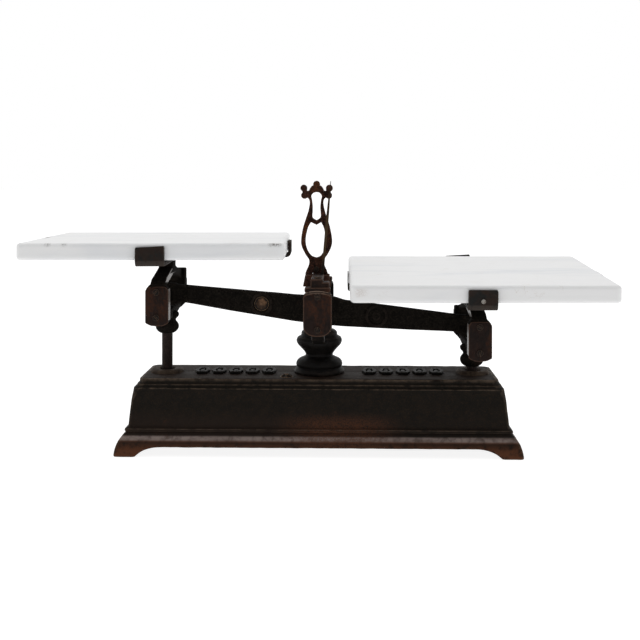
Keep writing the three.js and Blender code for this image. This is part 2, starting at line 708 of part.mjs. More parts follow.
function crossRivet(shift, foot) {
  const profile = [[0, foot], [RIVET_R, foot], [RIVET_R, 1.6], [6.6, 3.7], [0, 3.7]];
  return turned(profile, 16).translate(-shift, 0, 0);
}

function marblePlate(thickness) {
  const [edge, foot] = [3, CROSS_THICK + GAP];
  const geometry = new THREE.ExtrudeGeometry(roundedRectangle(PLATE_X - 2 * edge, PLATE_Y - 2 * edge, 4), {
    depth: thickness - 2 * edge,
    bevelThickness: edge,
    bevelSize: edge,
    bevelSegments: 2,
    curveSegments: 3,
  });
  return geometry.translate(0, 0, foot + edge);
}

// Lower stay, drawn about its own pivot with the arms level
function lowerStay() {
  const [half, pinHole] = [7.4, 3.5];
  const shape = new THREE.Shape();
  shape.absarc(ARM, 0, half, -Math.PI / 2, Math.PI / 2);
  shape.absarc(-ARM, 0, half, Math.PI / 2, 1.5 * Math.PI);
  shape.holes.push(discAt(pinHole, ARM), discAt(pinHole, -ARM), discAt(STAY_PIN_R + 2 * GAP));
  const bar = drawn('front', shape, -STAY_HALF_Y, STAY_HALF_Y, 5);
  const slots = [-1, 1].map((side) => {
    const [from, to] = side < 0 ? [-ARM - 20, -ARM + 12] : [ARM - 12, ARM + 20];
    return drawn('top', rectangle(from, to, -TONGUE_HALF_Y - 1, TONGUE_HALF_Y + 1), -20, 20);
  });
  return cut(bar, ...slots);
}

// Assembly
const object = new THREE.Group();
const sideName = (side) => (side < 0 ? 'left' : 'right');
const faceName = (side) => (side < 0 ? 'front' : 'back');

function buildBase(parent) {
  addPiece(parent, 'base_casting', baseCasting(), CAST_IRON);
  addPiece(parent, 'seal_plug', sealPlug(), PLUG_METAL);
  addPiece(parent, 'column_casting', columnCasting(), CAST_IRON);
  addPiece(parent, 'column_stud', columnStud(), BARE_STEEL);
  addPiece(parent, 'stud_washer', studWasher(), BARE_STEEL);
  addPiece(parent, 'stud_nut', studNut(), BARE_STEEL);
  addPiece(parent, 'stay_bracket', stayBracket(), CAST_IRON);
  addPiece(parent, 'stay_pin', stayPin(), BARE_STEEL);
  addPiece(parent, 'bridge_bar', bridgeBar(), BROWN_IRON);
  addPiece(parent, 'pointer_frame', pointerFrame(), POINTER_BROWN);
  addPiece(parent, 'pointer_screw', pointerScrew(), SCREW_STEEL);
  for (const side of [-1, 1]) {
    const face = faceName(side);
    addPiece(parent, `bridge_screw_${face}`, bridgeScrew(side), SCREW_STEEL);
    addPiece(parent, `centre_bearing_${face}`, centreBearing(side), BARE_STEEL);
    addPiece(parent, `centre_cover_${face}`, coverPlate(side, forkCoverShape(), FORK_SCREWS), BROWN_IRON);
    FORK_SCREWS.forEach(([x, z], i) => {
      const name = `centre_screw_${face}_${i ? 'top' : 'bottom'}`;
      addPiece(parent, name, coverScrew(side, x, z, 0.9 + i), SCREW_STEEL);
    });
  }
}

function buildBeam(parent) {
  const beam = addGroup(parent, 0, KNIFE_Z);
  beam.rotation.y = REST_TILT;
  addPiece(beam, 'beam_casting', beamCasting(), BEAM_IRON);
  addPiece(beam, 'centre_knife', knife(false), BARE_STEEL);
  for (const side of [-1, 1]) {
    const edge = knife(true).translate(side * ARM, 0, 0);
    addPiece(beam, `end_knife_${sideName(side)}`, edge, BARE_STEEL);
  }
  addPiece(beam, 'needle', needle(), PLUG_METAL);
  addPiece(beam, 'beam_plug', verificationPlug(), PLUG_METAL);
}

function buildCarrier(parent, side) {
  const name = sideName(side);
  const [x, z] = [side * ARM * Math.cos(REST_TILT), KNIFE_Z - side * ARM * Math.sin(REST_TILT)];
  const carrier = addGroup(parent, x, z);
  const seat = SEAT[name];
  const leanDrop = Math.sin(seat.lean) * 15;
  addPiece(carrier, `${name}_stirrup`, stirrup(leanDrop), BEAM_IRON);
  addPiece(carrier, `${name}_rod`, carrierRod(), BEAM_IRON);
  addPiece(carrier, `${name}_rod_pin`, rodPin(), BARE_STEEL);
  for (const face of [-1, 1]) {
    const where = `${name}_${faceName(face)}`;
    addPiece(carrier, `${where}_bearing`, carrierBearing(face), BARE_STEEL);
    const cover = coverPlate(face, carrierCoverShape(face), CARRIER_SCREWS);
    addPiece(carrier, `${where}_cover`, cover, BROWN_IRON);
    CARRIER_SCREWS.forEach(([sx, sz], i) => {
      const screwName = `${where}_screw_${i ? 'top' : 'bottom'}`;
      addPiece(carrier, screwName, coverScrew(face, sx, sz, 0.4 + 0.8 * i + face), SCREW_STEEL);
    });
  }
  const top = addGroup(carrier, seat.shift, CROSS_Z);
  top.rotation.set(seat.lean, 0, seat.yaw);
  addPiece(top, `${name}_cross`, plateCross(seat, side > 0), LUG_STEEL);
  addPiece(top, `${name}_cross_rivet`, crossRivet(seat.shift, leanDrop - 10), LUG_STEEL);
  if (side > 0) addPiece(top, 'right_lug_screw', lugScrewPiece(seat.barShift), SCREW_STEEL);
  addPiece(top, `${name}_plate`, marblePlate(PLATE_THICK[name]), MARBLE);
}

function buildStay(parent) {
  const stay = addGroup(parent, 0, STAY_Z);
  stay.rotation.y = REST_TILT;
  addPiece(stay, 'lower_stay', lowerStay(), CAST_IRON);
}

buildBase(object);
buildBeam(object);
buildCarrier(object, -1);
buildCarrier(object, 1);
buildStay(object);

export default object;
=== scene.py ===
import json
from functools import cache
from math import atan2, cos, hypot, pi, radians, sin

import bmesh
import bpy
from mathutils import Matrix, Vector, noise

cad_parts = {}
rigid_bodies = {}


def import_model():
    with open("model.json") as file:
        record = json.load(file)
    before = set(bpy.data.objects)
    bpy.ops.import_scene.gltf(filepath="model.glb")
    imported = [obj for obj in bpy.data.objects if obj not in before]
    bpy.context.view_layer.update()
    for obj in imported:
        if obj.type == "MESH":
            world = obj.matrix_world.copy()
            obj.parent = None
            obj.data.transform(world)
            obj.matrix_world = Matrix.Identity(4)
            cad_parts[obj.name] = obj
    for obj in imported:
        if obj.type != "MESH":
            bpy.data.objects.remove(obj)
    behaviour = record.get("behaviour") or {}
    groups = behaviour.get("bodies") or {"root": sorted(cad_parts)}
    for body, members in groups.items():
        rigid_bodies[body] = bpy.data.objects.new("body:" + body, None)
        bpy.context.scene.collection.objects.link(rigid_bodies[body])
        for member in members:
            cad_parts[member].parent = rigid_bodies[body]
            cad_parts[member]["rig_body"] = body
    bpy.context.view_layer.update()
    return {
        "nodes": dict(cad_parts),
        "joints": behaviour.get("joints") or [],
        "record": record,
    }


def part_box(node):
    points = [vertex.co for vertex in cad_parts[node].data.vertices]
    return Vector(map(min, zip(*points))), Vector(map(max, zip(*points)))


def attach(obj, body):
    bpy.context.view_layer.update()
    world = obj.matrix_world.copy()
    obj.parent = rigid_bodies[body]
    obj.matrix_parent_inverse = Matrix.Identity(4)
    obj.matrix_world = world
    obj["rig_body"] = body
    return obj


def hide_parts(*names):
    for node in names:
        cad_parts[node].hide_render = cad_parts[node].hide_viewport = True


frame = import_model()
nodes = frame["nodes"]
joints = {joint["name"]: joint for joint in frame["joints"]}
MM = 0.001
noise.seed_set(7)


def moved(x, y, z):
    return Matrix.Translation((x, y, z))


# Places that the CAD shares, in millimetres and radians
KNIFE_Z = joints["beam_tilt"]["pos_m"][2] / MM
REST_TILT, ARM = radians(6), 184
BEAM = moved(0, 0, KNIFE_Z) @ Matrix.Rotation(REST_TILT, 4, "Y")
CROSS_Z = 41.5
PLATE_LEAN = radians(3.5)
LUG_REACH_X, LUG_REACH_Y, LUG_THICK, LUG_SHIFT = 147.85, 122.6, 4, -3.5


def carrier_place(side):
    """An end knife of the beam, which its carrier hangs on. Side is -1 for left and 1 for right."""
    return moved(side * ARM * cos(REST_TILT), 0, KNIFE_Z - side * ARM * sin(REST_TILT))


def cross_place(side):
    """Where a plate cross sits on its carrier: its shift, turn and forward lean."""
    shift, yaw, lean = (-2.5, 1.9, 0) if side < 0 else (0, 0.5, PLATE_LEAN)
    turn = Matrix.Rotation(lean, 4, "X") @ Matrix.Rotation(radians(yaw), 4, "Z")
    return carrier_place(side) @ moved(shift, 0, CROSS_Z) @ turn


# ---------------------------------------------------------------- materials
class Shader:
    """Writes one procedural node material."""

    def __init__(self, name):
        self.material = bpy.data.materials.new(name)
        self.material.use_nodes = True
        self.tree = self.material.node_tree
        self.surface = self.tree.nodes["Principled BSDF"]
        self.place = self.tree.nodes.new("ShaderNodeTexCoord").outputs["Object"]

    def node(self, kind, inputs=(), **settings):
        made = self.tree.nodes.new("ShaderNode" + kind)
        for key, value in settings.items():
            setattr(made, key, value)
        for key, value in dict(inputs).items():
            self.feed(made.inputs[key], value)
        return made

    def feed(self, socket, value):
        if isinstance(value, bpy.types.NodeSocket):
            self.tree.links.new(value, socket)
        else:
            socket.default_value = value

    def noise(self, scale, detail=6.0, rough=0.6, stretch=(1, 1, 1), distort=0.0, offset=(0, 0, 0)):
        moved = self.node("Mapping", {"Vector": self.place, "Scale": stretch, "Location": offset})
        made = self.node("TexNoise", {
            "Vector": moved.outputs[0], "Scale": scale, "Detail": detail, "Roughness": rough,
            "Distortion": distort,
        })
        return made.outputs["Fac"]

    def ramp(self, value, low, high, out_low=0.0, out_high=1.0):
        made = self.node("MapRange", {
            "Value": value, "From Min": low, "From Max": high, "To Min": out_low, "To Max": out_high,
        }, interpolation_type="SMOOTHSTEP")
        return made.outputs[0]

    def math(self, kind, a, b=0.0):
        return self.node("Math", {0: a, 1: b}, operation=kind, use_clamp=kind != "SUBTRACT").outputs[0]

    def times(self, a, b):
        return self.math("MULTIPLY", a, b)

    def mix(self, factor, a, b):
        made = self.node("Mix", data_type="RGBA")
        for socket, value in zip((0, 6, 7), (factor, a, b)):
            self.feed(made.inputs[socket], value)
        return made.outputs[2]

    def bump(self, height, strength, distance, normal=None):
        made = self.node("Bump", {"Height": height, "Strength": strength, "Distance": distance})
        if normal is not None:
            self.feed(made.inputs["Normal"], normal)
        return made.outputs[0]

    def attribute(self, name):
        return self.node("Attribute", attribute_name=name).outputs["Fac"]

    def set(self, **sockets):
        for key, value in sockets.items():
            self.feed(self.surface.inputs[key.replace("_", " ")], value)
        return self.material


def rgb(red, green, blue):
    """A colour given as sRGB 0-255, as the linear RGBA that shaders take."""
    linear = [((c / 255 + 0.055) / 1.055) ** 2.4 if c > 10 else c / 255 / 12.92 for c in (red, green, blue)]
    return (*linear, 1.0)


def tinted(colour, factor):
    return rgb(*[factor * c for c in colour])


def cast_iron(name, dark, mottle, rust, rust_share, worn, gloss, skirt=False, shine=0.12):
    """Old black cast iron: a grainy skin, mottled, rusty in patches, rubbed paler on its edges."""
    s = Shader(name)
    broad, middle = s.noise(22, 5), s.noise(120, 6, distort=0.4)
    fine, speck = s.noise(620, 4), s.noise(1500, 2)
    streak = s.noise(420, 5, stretch=(0.22, 1, 1))
    body = s.mix(s.ramp(middle, 0.36, 0.70), rgb(*dark), rgb(*mottle))
    body = s.mix(s.ramp(streak, 0.55, 0.72, 0, 0.45), body, tinted(mottle, 1.5))
    body = s.mix(s.ramp(fine, 0.50, 0.66, 0, 0.4), body, tinted(mottle, 1.9))
    body = s.mix(s.ramp(fine, 0.46, 0.34, 0, 0.5), body, tinted(dark, 0.5))
    patch = s.times(s.ramp(broad, 0.66 - rust_share, 0.88 - rust_share), s.ramp(fine, 0.3, 0.6))
    place = s.node("SeparateXYZ", {0: s.place}).outputs
    if skirt:
        body, patch = skirt_tones(s, body, patch, place, middle, fine)
    body = s.mix(patch, body, rgb(*rust))
    edge = s.times(s.attribute("edge"), s.ramp(middle, 0.28, 0.68))
    body = s.mix(edge, body, rgb(*worn))
    rough = s.math("ADD", s.ramp(fine, 0.3, 0.7, gloss, gloss + 0.16), s.times(patch, 0.12))
    rough = s.math("SUBTRACT", rough, s.times(edge, 0.14))
    relief = s.bump(broad, 0.6, 0.0016)
    relief = s.bump(middle, 0.8, 0.0006, relief)
    relief = s.bump(fine, 0.8, 0.00026, relief)
    relief = s.bump(speck, 0.25, 0.0001, relief)
    return s.set(Base_Color=body, Roughness=rough, Normal=relief, Specular_IOR_Level=shine)


def skirt_tones(s, body, patch, place, middle, fine):
    """The base is browner low down, has a painted highlight on the cove of its skirt, grey above and
    red-brown below, and is rusty low in the middle.
    """
    across, up = place["X"], place["Z"]
    pale = s.times(s.ramp(up, 0.056, 0.030, 0, 0.55), s.ramp(across, 0.110, 0.050, 0.3, 1))
    body = s.mix(pale, body, rgb(38, 27, 21))
    # Painted highlight: the upward-facing band of the cove is painted lighter, with darker streaks along it.
    cove = s.times(s.ramp(up, 0.0155, 0.0185), s.ramp(up, 0.0236, 0.0212))
    cove_highlight_colour = s.mix(s.ramp(up, 0.0165, 0.0195), rgb(92, 60, 46), rgb(134, 120, 114))
    body = s.mix(s.times(cove, s.ramp(middle, 0.25, 0.6, 0.35, 0.95)), body, cove_highlight_colour)
    along = s.noise(60, 5, stretch=(0.12, 1, 1))
    body = s.mix(s.times(cove, s.ramp(along, 0.45, 0.7, 0, 0.6)), body, rgb(58, 38, 30))
    body = s.mix(s.ramp(up, 0.0835, 0.0848, 0, 0.5), body, rgb(46, 30, 20))
    low = s.times(s.ramp(up, 0.020, 0.006, 0, 0.85), s.ramp(middle, 0.28, 0.55))
    mid = s.times(s.ramp(up, 0.050, 0.034), s.ramp(across, -0.060, 0.005))
    mid = s.times(mid, s.ramp(across, 0.105, 0.045, 0, 0.55))
    mid = s.times(mid, s.ramp(fine, 0.3, 0.62))
    return body, s.math("MAXIMUM", patch, s.math("MAXIMUM", low, mid))


def worn_metal(name, base, stain, pale, gloss, metal=0, grain=(1, 1, 1), stain_share=0.5, accent=None,
               base_band=None):
    """Bare or browned metal with stains, fine scratches along its length and paler worn edges; on the centre
    arch that pale colour is also a painted highlight.
    A base band is two ramps in Z; outside them the metal has the colour of its stains."""
    s = Shader(name)
    broad, middle, fine = s.noise(62, 6, distort=0.5), s.noise(300, 5), s.noise(1200, 3)
    lines = s.noise(420, 4, stretch=grain)
    stained = s.ramp(broad, 0.60 - 0.3 * stain_share, 0.78 - 0.3 * stain_share)
    colour = s.mix(stained, rgb(*base), rgb(*stain))
    if accent:
        bloom = s.noise(48, 7, 0.65, stretch=(1.6, 1, 0.7), offset=(2, 5, 1))
        bloom = s.times(s.ramp(bloom, 0.47, 0.62), s.ramp(middle, 0.3, 0.6))
        colour = s.mix(bloom, colour, rgb(*accent))
    if base_band:
        height = s.node("SeparateXYZ", {0: s.place}).outputs["Z"]
        inside = s.times(s.ramp(height, *base_band[:2]), s.ramp(height, *base_band[2:]))
        colour = s.mix(inside, rgb(*stain), colour)
    colour = s.mix(s.ramp(lines, 0.54, 0.76, 0, 0.16), colour, rgb(*pale))
    edge = s.times(s.attribute("edge"), s.ramp(middle, 0.3, 0.5))
    colour = s.mix(edge, colour, rgb(*pale))
    rough = s.math("ADD", s.ramp(middle, 0.3, 0.7, gloss, gloss + 0.2), s.ramp(lines, 0.4, 0.7, 0, 0.08))
    relief = s.bump(broad, 0.3, 0.0008)
    relief = s.bump(middle, 0.4, 0.00035, relief)
    relief = s.bump(lines, 0.35, 0.00012, relief)
    relief = s.bump(fine, 0.3, 0.00008, relief)
    return s.set(Base_Color=colour, Roughness=rough, Metallic=metal, Normal=relief, Specular_IOR_Level=0.12)


def marble(name):
    """Honed white marble: faint grey-blue drifts, a thin brown vein, a painted shade low on the right slab's
    inner end, and grime in its chips.
    """
    s = Shader(name)
    drift = s.noise(9, 4, 0.5, stretch=(0.5, 3, 3), distort=0.8)
    cloud, grain = s.noise(30, 3, distort=0.8), s.noise(900, 3)
    colour = s.mix(s.ramp(drift, 0.48, 0.72, 0, 0.55), rgb(230, 230, 230), rgb(210, 213, 217))
    colour = s.mix(s.ramp(cloud, 0.55, 0.75, 0, 0.2), colour, rgb(224, 222, 217))
    vein = s.noise(6.5, 7, 0.55, stretch=(1, 1.6, 2), distort=1.1, offset=(3, 1, 2))
    vein = s.node("Math", {0: s.math("SUBTRACT", vein, 0.52)}, operation="ABSOLUTE").outputs[0]
    line = s.ramp(vein, 0.0035, 0.0, 0, 0.3)
    colour = s.mix(s.times(line, s.ramp(cloud, 0.5, 0.66)), colour, rgb(168, 148, 128))
    across, _, up = s.node("SeparateXYZ", {0: s.place}).outputs
    # Painted shade: a warm darker band low on the right slab's end next to the middle of the scale.
    painted_shade = s.times(s.ramp(across, 0.040, 0.046, 0, 0.34), s.ramp(across, 0.060, 0.048))
    for limit in (s.ramp(up, 0.187, 0.192), s.ramp(up, 0.200, 0.196), s.ramp(grain, 0.3, 0.6)):
        painted_shade = s.times(painted_shade, limit)
    colour = s.mix(painted_shade, colour, rgb(168, 148, 132))
    grime = s.times(s.attribute("grime"), s.ramp(grain, 0.2, 0.5, 0.6, 1))
    colour = s.mix(grime, colour, rgb(70, 62, 54))
    rough = s.ramp(cloud, 0.3, 0.7, 0.36, 0.42)
    relief = s.bump(grain, 0.01, 0.00001)
    return s.set(Base_Color=colour, Roughness=rough, Normal=relief, Specular_IOR_Level=0.5)


CAST_IRONS = {
    "black_cast_iron": dict(dark=(15, 12, 8), mottle=(24, 18, 12), rust=(86, 51, 33), rust_share=0.04,
                            worn=(94, 80, 67), gloss=0.64, skirt=True),
    "beam_iron": dict(dark=(16, 14, 12), mottle=(25, 22, 19), rust=(44, 29, 22), rust_share=0.1,
                      worn=(40, 34, 30), gloss=0.8, shine=0.03),
    "rod_iron": dict(dark=(27, 21, 19), mottle=(38, 29, 26), rust=(58, 38, 28), rust_share=0.1,
                     worn=(70, 60, 54), gloss=0.6),
    "column_iron": dict(dark=(7, 6, 5), mottle=(15, 12, 10), rust=(44, 30, 22), rust_share=0.03,
                        worn=(46, 38, 32), gloss=0.5),
    # Paler, glossier iron painted as a highlight on the carriers' sides that face the column.
    "highlit_side_iron": dict(dark=(60, 54, 50), mottle=(90, 82, 76), rust=(60, 42, 32), rust_share=0.1,
                        worn=(120, 110, 102), gloss=0.3, shine=0.5),
    "pointer_iron": dict(dark=(27, 18, 15), mottle=(56, 36, 29), rust=(88, 50, 24), rust_share=0.2,
                         worn=(78, 58, 48), gloss=0.78, shine=0.05),
}
WORN_METALS = {
    "brown_iron": dict(base=(28, 15, 10), stain=(19, 10, 7), pale=(82, 60, 48), gloss=0.5,
                       grain=(1, 1, 0.2), accent=(50, 26, 13)),
    # Pale lines and edges here are partly wear and partly a painted highlight along the arched top of the
    # centre covers.
    "centre_highlight_iron": dict(base=(26, 16, 12), stain=(18, 11, 9), pale=(128, 108, 94), gloss=0.5,
                        grain=(1, 1, 0.2), stain_share=0.4, accent=(52, 29, 16)),
    "dark_steel": dict(base=(24, 24, 23), stain=(36, 26, 21), pale=(70, 64, 58), gloss=0.55,
                       grain=(0.2, 1, 1), stain_share=0.7, accent=(34, 25, 21)),
    "bare_steel": dict(base=(96, 92, 88), stain=(70, 54, 44), pale=(150, 146, 140), gloss=0.34,
                       metal=0.8, grain=(1, 0.15, 1)),
    "screw_steel": dict(base=(26, 18, 14), stain=(12, 9, 8), pale=(96, 78, 64), gloss=0.5, stain_share=0.6),
    "bright_screw": dict(base=(140, 136, 130), stain=(96, 86, 78), pale=(190, 186, 180), gloss=0.4,
                         metal=0.2),
    "dark_boss": dict(base=(66, 48, 34), stain=(22, 16, 12), pale=(128, 104, 80), gloss=0.45,
                      stain_share=0.7),
    "ochre_boss": dict(base=(112, 84, 62), stain=(52, 38, 28), pale=(60, 44, 32), gloss=0.4),
    "worn_brown_metal": dict(base=(64, 49, 31), stain=(28, 21, 16), pale=(88, 73, 52), gloss=0.55,
                             grain=(1, 1, 0.3), stain_share=0.3, base_band=(0.212, 0.226, 0.300, 0.290)),
}
MATERIALS = {name: cast_iron(name, **look) for name, look in CAST_IRONS.items()}
MATERIALS.update({name: worn_metal(name, **look) for name, look in WORN_METALS.items()})
MATERIALS["white_marble"] = marble("white_marble")


# ---------------------------------------------------------------- making pieces
SHARP_ANGLE = radians(38)


def smooth_group():
    """A node group that shades smooth, except across sharp edges."""
    group = bpy.data.node_groups.new("smooth_by_angle", "GeometryNodeTree")
    for side in ("INPUT", "OUTPUT"):
        group.interface.new_socket("Geometry", in_out=side, socket_type="NodeSocketGeometry")
    made = {key: group.nodes.new(kind) for key, kind in {
        "in": "NodeGroupInput", "out": "NodeGroupOutput", "angle": "GeometryNodeInputMeshEdgeAngle",
        "sharp": "FunctionNodeCompare", "faces": "GeometryNodeSetShadeSmooth",
        "edges": "GeometryNodeSetShadeSmooth",
    }.items()}
    made["sharp"].operation = "LESS_EQUAL"
    made["sharp"].inputs[1].default_value = SHARP_ANGLE
    made["edges"].domain = "EDGE"
    link = group.links.new
    link(made["in"].outputs[0], made["faces"].inputs[0])
    link(made["faces"].outputs[0], made["edges"].inputs[0])
    link(made["angle"].outputs[0], made["sharp"].inputs[0])
    link(made["sharp"].outputs[0], made["edges"].inputs["Shade Smooth"])
    link(made["edges"].outputs[0], made["out"].inputs[0])
    return group


SMOOTH = smooth_group()


def in_scene(name, data):
    thing = bpy.data.objects.new(name, data)
    bpy.context.scene.collection.objects.link(thing)
    return thing


def shade(piece):
    piece.modifiers.new("smooth", "NODES").node_group = SMOOTH


FULL_WEAR_TURN, LEAST_WEAR, NARROW = radians(45), 0.25, 2.2


def mark_edges(mesh):
    """Stores how sharply narrow faces turn outwards, for the wear on rounded edges and mouldings."""
    work = bmesh.new()
    work.from_mesh(mesh)
    layer = work.loops.layers.float.new("edge")
    turns = [0.0] * len(work.verts)
    work.verts.index_update()
    for edge in work.edges:
        if len(edge.link_faces) == 2 and edge.is_convex:
            turn = min(edge.calc_face_angle(0) / FULL_WEAR_TURN, 1)
            for vert in edge.verts:
                turns[vert.index] = max(turns[vert.index], turn if turn > LEAST_WEAR else 0)
    for face in work.faces:
        width = face.calc_area() / max(edge.calc_length() for edge in face.edges)
        narrow = len(face.verts) == 4 and width < NARROW * MM
        for loop in face.loops:
            loop[layer] = turns[loop.vert.index] if narrow else 0.0
    work.to_mesh(mesh)
    work.free()


COARSE_CAST, MEDIUM_CAST, FINE_CAST, SMOOTH_CAST = (0.22, 9), (0.18, 7), (0.16, 6), (0.1, 6)


def rough_cast(mesh, amount, size):
    """Moves the surface a little, as sand casting does, but not below the floor. Both are in millimetres."""
    for vert in mesh.vertices:
        vert.co += noise.noise_vector(vert.co / (size * MM)) * amount * MM
        vert.co.z = max(vert.co.z, 0)


UNMOVED = Matrix.Identity(4)


class Shape:
    """Closed solids gathered into one mesh, in millimetres until it is placed."""

    def __init__(self):
        self.verts, self.faces = [], []

    def add(self, verts, faces, place=UNMOVED):
        start = len(self.verts)
        self.verts += [place @ Vector(v) for v in verts]
        self.faces += [tuple(start + i for i in face) for face in faces]
        return self

    def lathe(self, profile, segments=72, place=UNMOVED):
        """Turned about Z; the profile is (radius, height), closed at the axis at both ends."""
        ring = range(segments)
        verts, faces, rings = [], [], []
        for radius, height in profile:
            if radius < 1e-6:
                rings.append([len(verts)] * segments)
                verts.append((0, 0, height))
            else:
                rings.append([len(verts) + i for i in ring])
                verts += [(across, along, height) for across, along in circle(radius, segments=segments)]
        for low, high in zip(rings, rings[1:]):
            for i in ring:
                j = (i + 1) % segments
                corners = [low[i], low[j], high[j], high[i]]
                face = tuple(dict.fromkeys(corners))
                if len(face) > 2:
                    faces.append(face)
        return self.add(verts, faces, place)

    def plate(self, outline, near, far, holes=(), edge=0.8, view="front", place=UNMOVED):
        """A flat drawing given depth, with rounded edges. A front drawing is in X-Z, a side one in Y-Z."""
        curve = bpy.data.curves.new("drawing", "CURVE")
        curve.dimensions, curve.fill_mode = "2D", "BOTH"
        for ring, is_hole in [(outline, False), *((hole, True) for hole in holes)]:
            spline = curve.splines.new("POLY")
            turned_right = area(ring) > 0
            ring = ring if turned_right != is_hole else ring[::-1]
            spline.points.add(len(ring) - 1)
            for point, (across, up) in zip(spline.points, ring):
                point.co = (across, up, 0, 1)
            spline.use_cyclic_u = True
        curve.extrude = (far - near) / 2 - edge
        curve.bevel_depth, curve.bevel_resolution, curve.offset = edge, 2, -edge
        solid = in_scene("drawing", curve)
        mesh = bpy.data.meshes.new_from_object(solid.evaluated_get(bpy.context.evaluated_depsgraph_get()))
        bpy.data.objects.remove(solid)
        middle = (near + far) / 2
        stand = {
            "front": Matrix(((1, 0, 0, 0), (0, 0, -1, middle), (0, 1, 0, 0), (0, 0, 0, 1))),
            "side": Matrix(((0, 0, 1, middle), (1, 0, 0, 0), (0, 1, 0, 0), (0, 0, 0, 1))),
            "top": moved(0, 0, middle),
        }[view]
        faces = [tuple(face.vertices) for face in mesh.polygons]
        return self.add([vert.co for vert in mesh.vertices], faces, place @ stand)

    def piece(self, name, body, slot, stands_for=(), place=UNMOVED, cast=None, finish=None):
        """One visible object. Cast is for rough_cast; finish is its material where that isn't the slot's."""
        mesh = bpy.data.meshes.new(name)
        mesh.from_pydata([place @ v for v in self.verts], [], self.faces)
        mesh.transform(Matrix.Scale(MM, 4))
        work = bmesh.new()
        work.from_mesh(mesh)
        bmesh.ops.remove_doubles(work, verts=work.verts, dist=1e-6)
        bmesh.ops.recalc_face_normals(work, faces=work.faces)
        work.to_mesh(mesh)
        work.free()
        mark_edges(mesh)
        if cast:
            rough_cast(mesh, *cast)
        made = in_scene(name, mesh)
        mesh.materials.append(MATERIALS[finish or slot])
        shade(made)
        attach(made, body)
        if stands_for:
            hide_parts(*([stands_for] if isinstance(stands_for, str) else stands_for))
        return made


def area(ring):
    return sum(a[0] * b[1] - b[0] * a[1] for a, b in zip(ring, ring[1:] + ring[:1])) / 2


def mirrored(right_half):
    return list(right_half) + [(-x, z) for x, z in reversed(right_half) if x > 0]


def rounded(points, radius, steps=4):
    """The outline with each corner rounded by about the given radius."""
    result = []
    for before, here, after in zip(points[-1:] + points[:-1], points, points[1:] + points[:1]):
        here, before, after = Vector(here), Vector(before), Vector(after)
        reach = min(radius, (before - here).length * 0.45, (after - here).length * 0.45)
        start = here + (before - here).normalized() * reach
        end = here + (after - here).normalized() * reach
        for i in range(steps + 1):
            t = i / steps
            result.append(tuple((1 - t) ** 2 * start + 2 * t * (1 - t) * here + t * t * end))
    return result


def flowing(points, steps=6):
    """A smooth open line through the points (Catmull-Rom)."""
    line = [Vector(p) for p in points]
    line = [2 * line[0] - line[1], *line, 2 * line[-1] - line[-2]]
    result = []
    for a, b, c, d in zip(line, line[1:], line[2:], line[3:]):
        for i in range(steps):
            t = i / steps
            result.append(tuple(0.5 * (2 * b + (c - a) * t + (2 * a - 5 * b + 4 * c - d) * t * t
                                       + (3 * b - a - 3 * c + d) * t ** 3)))
    return result + [tuple(line[-2])]


def circle(radius, across=0, up=0, segments=40):
    return [(across + radius * cos(2 * pi * i / segments), up + radius * sin(2 * pi * i / segments))
            for i in range(segments)]


def box_outline(left, right, bottom, top, radius=0.0):
    ring = [(left, bottom), (right, bottom), (right, top), (left, top)]
    return rounded(ring, radius) if radius else ring


def facing(side):
    """Turns a piece made along +Z so that it faces the front (side -1) or the back (side 1)."""
    return Matrix.Rotation(radians(-90 * side), 4, "X")


def ring_profile(inner, outer, foot, top, round_over=1.0):
    """Closed section of a flat ring, its outer top edge rounded."""
    return [(inner, foot), (outer, foot), (outer, top - round_over),
            (outer - 0.3 * round_over, top - 0.3 * round_over), (outer - round_over, top),
            (inner + 0.5 * round_over, top), (inner, top - 0.5 * round_over), (inner, foot)]


def polar_relief(radius, height, petals, depth, rings=14, segments=96):
    """A round boss whose dome is dented into petals, on a flat back at height 0."""
    verts, faces = [(0, 0, height)], []
    for k in range(1, rings + 1):
        r = radius * k / rings
        dome = height * (1 - (k / rings) ** 3)
        for i in range(segments):
            angle = 2 * pi * i / segments
            dent = depth * height * (k / rings) * (0.5 + 0.5 * cos(petals * angle))
            verts.append((r * cos(angle), r * sin(angle), max(dome - dent, 0.15 * height)))
    verts += [(across, along, 0) for across, along in circle(radius, segments=segments)]
    for i in range(segments):
        j = (i + 1) % segments
        faces.append((0, 1 + i, 1 + j))
        for k in range(rings):
            a, b = 1 + k * segments, 1 + (k + 1) * segments
            faces.append((a + i, b + i, b + j, a + j))
    faces.append(tuple(1 + rings * segments + i for i in reversed(range(segments))))
    return verts, faces


def rim(half_x, half_y, radius, along_x=150, along_y=44, corner=6):
    """Points round a rectangular plan with rounded corners; their number doesn't change with its size."""
    arcs = []
    for turn, (sx, sy) in enumerate(((1, -1), (1, 1), (-1, 1), (-1, -1))):
        arcs.append([(sx * (half_x - radius) + radius * cos(radians(90 * (turn - 1 + i / corner))),
                      sy * (half_y - radius) + radius * sin(radians(90 * (turn - 1 + i / corner))))
                     for i in range(corner + 1)])
    points = []
    for turn, arc in enumerate(arcs):
        start, end = Vector(arc[-1]), Vector(arcs[(turn + 1) % 4][0])
        count = along_y if turn % 2 == 0 else along_x
        points += arc + [tuple(start.lerp(end, i / count)) for i in range(1, count)]
    return points


def loops_to_faces(loops, count, closed):
    faces = []
    for low, high in zip(loops, loops[1:] + loops[:1] if closed else loops[1:]):
        faces += [(low + i, low + (i + 1) % count, high + (i + 1) % count, high + i) for i in range(count)]
    return faces


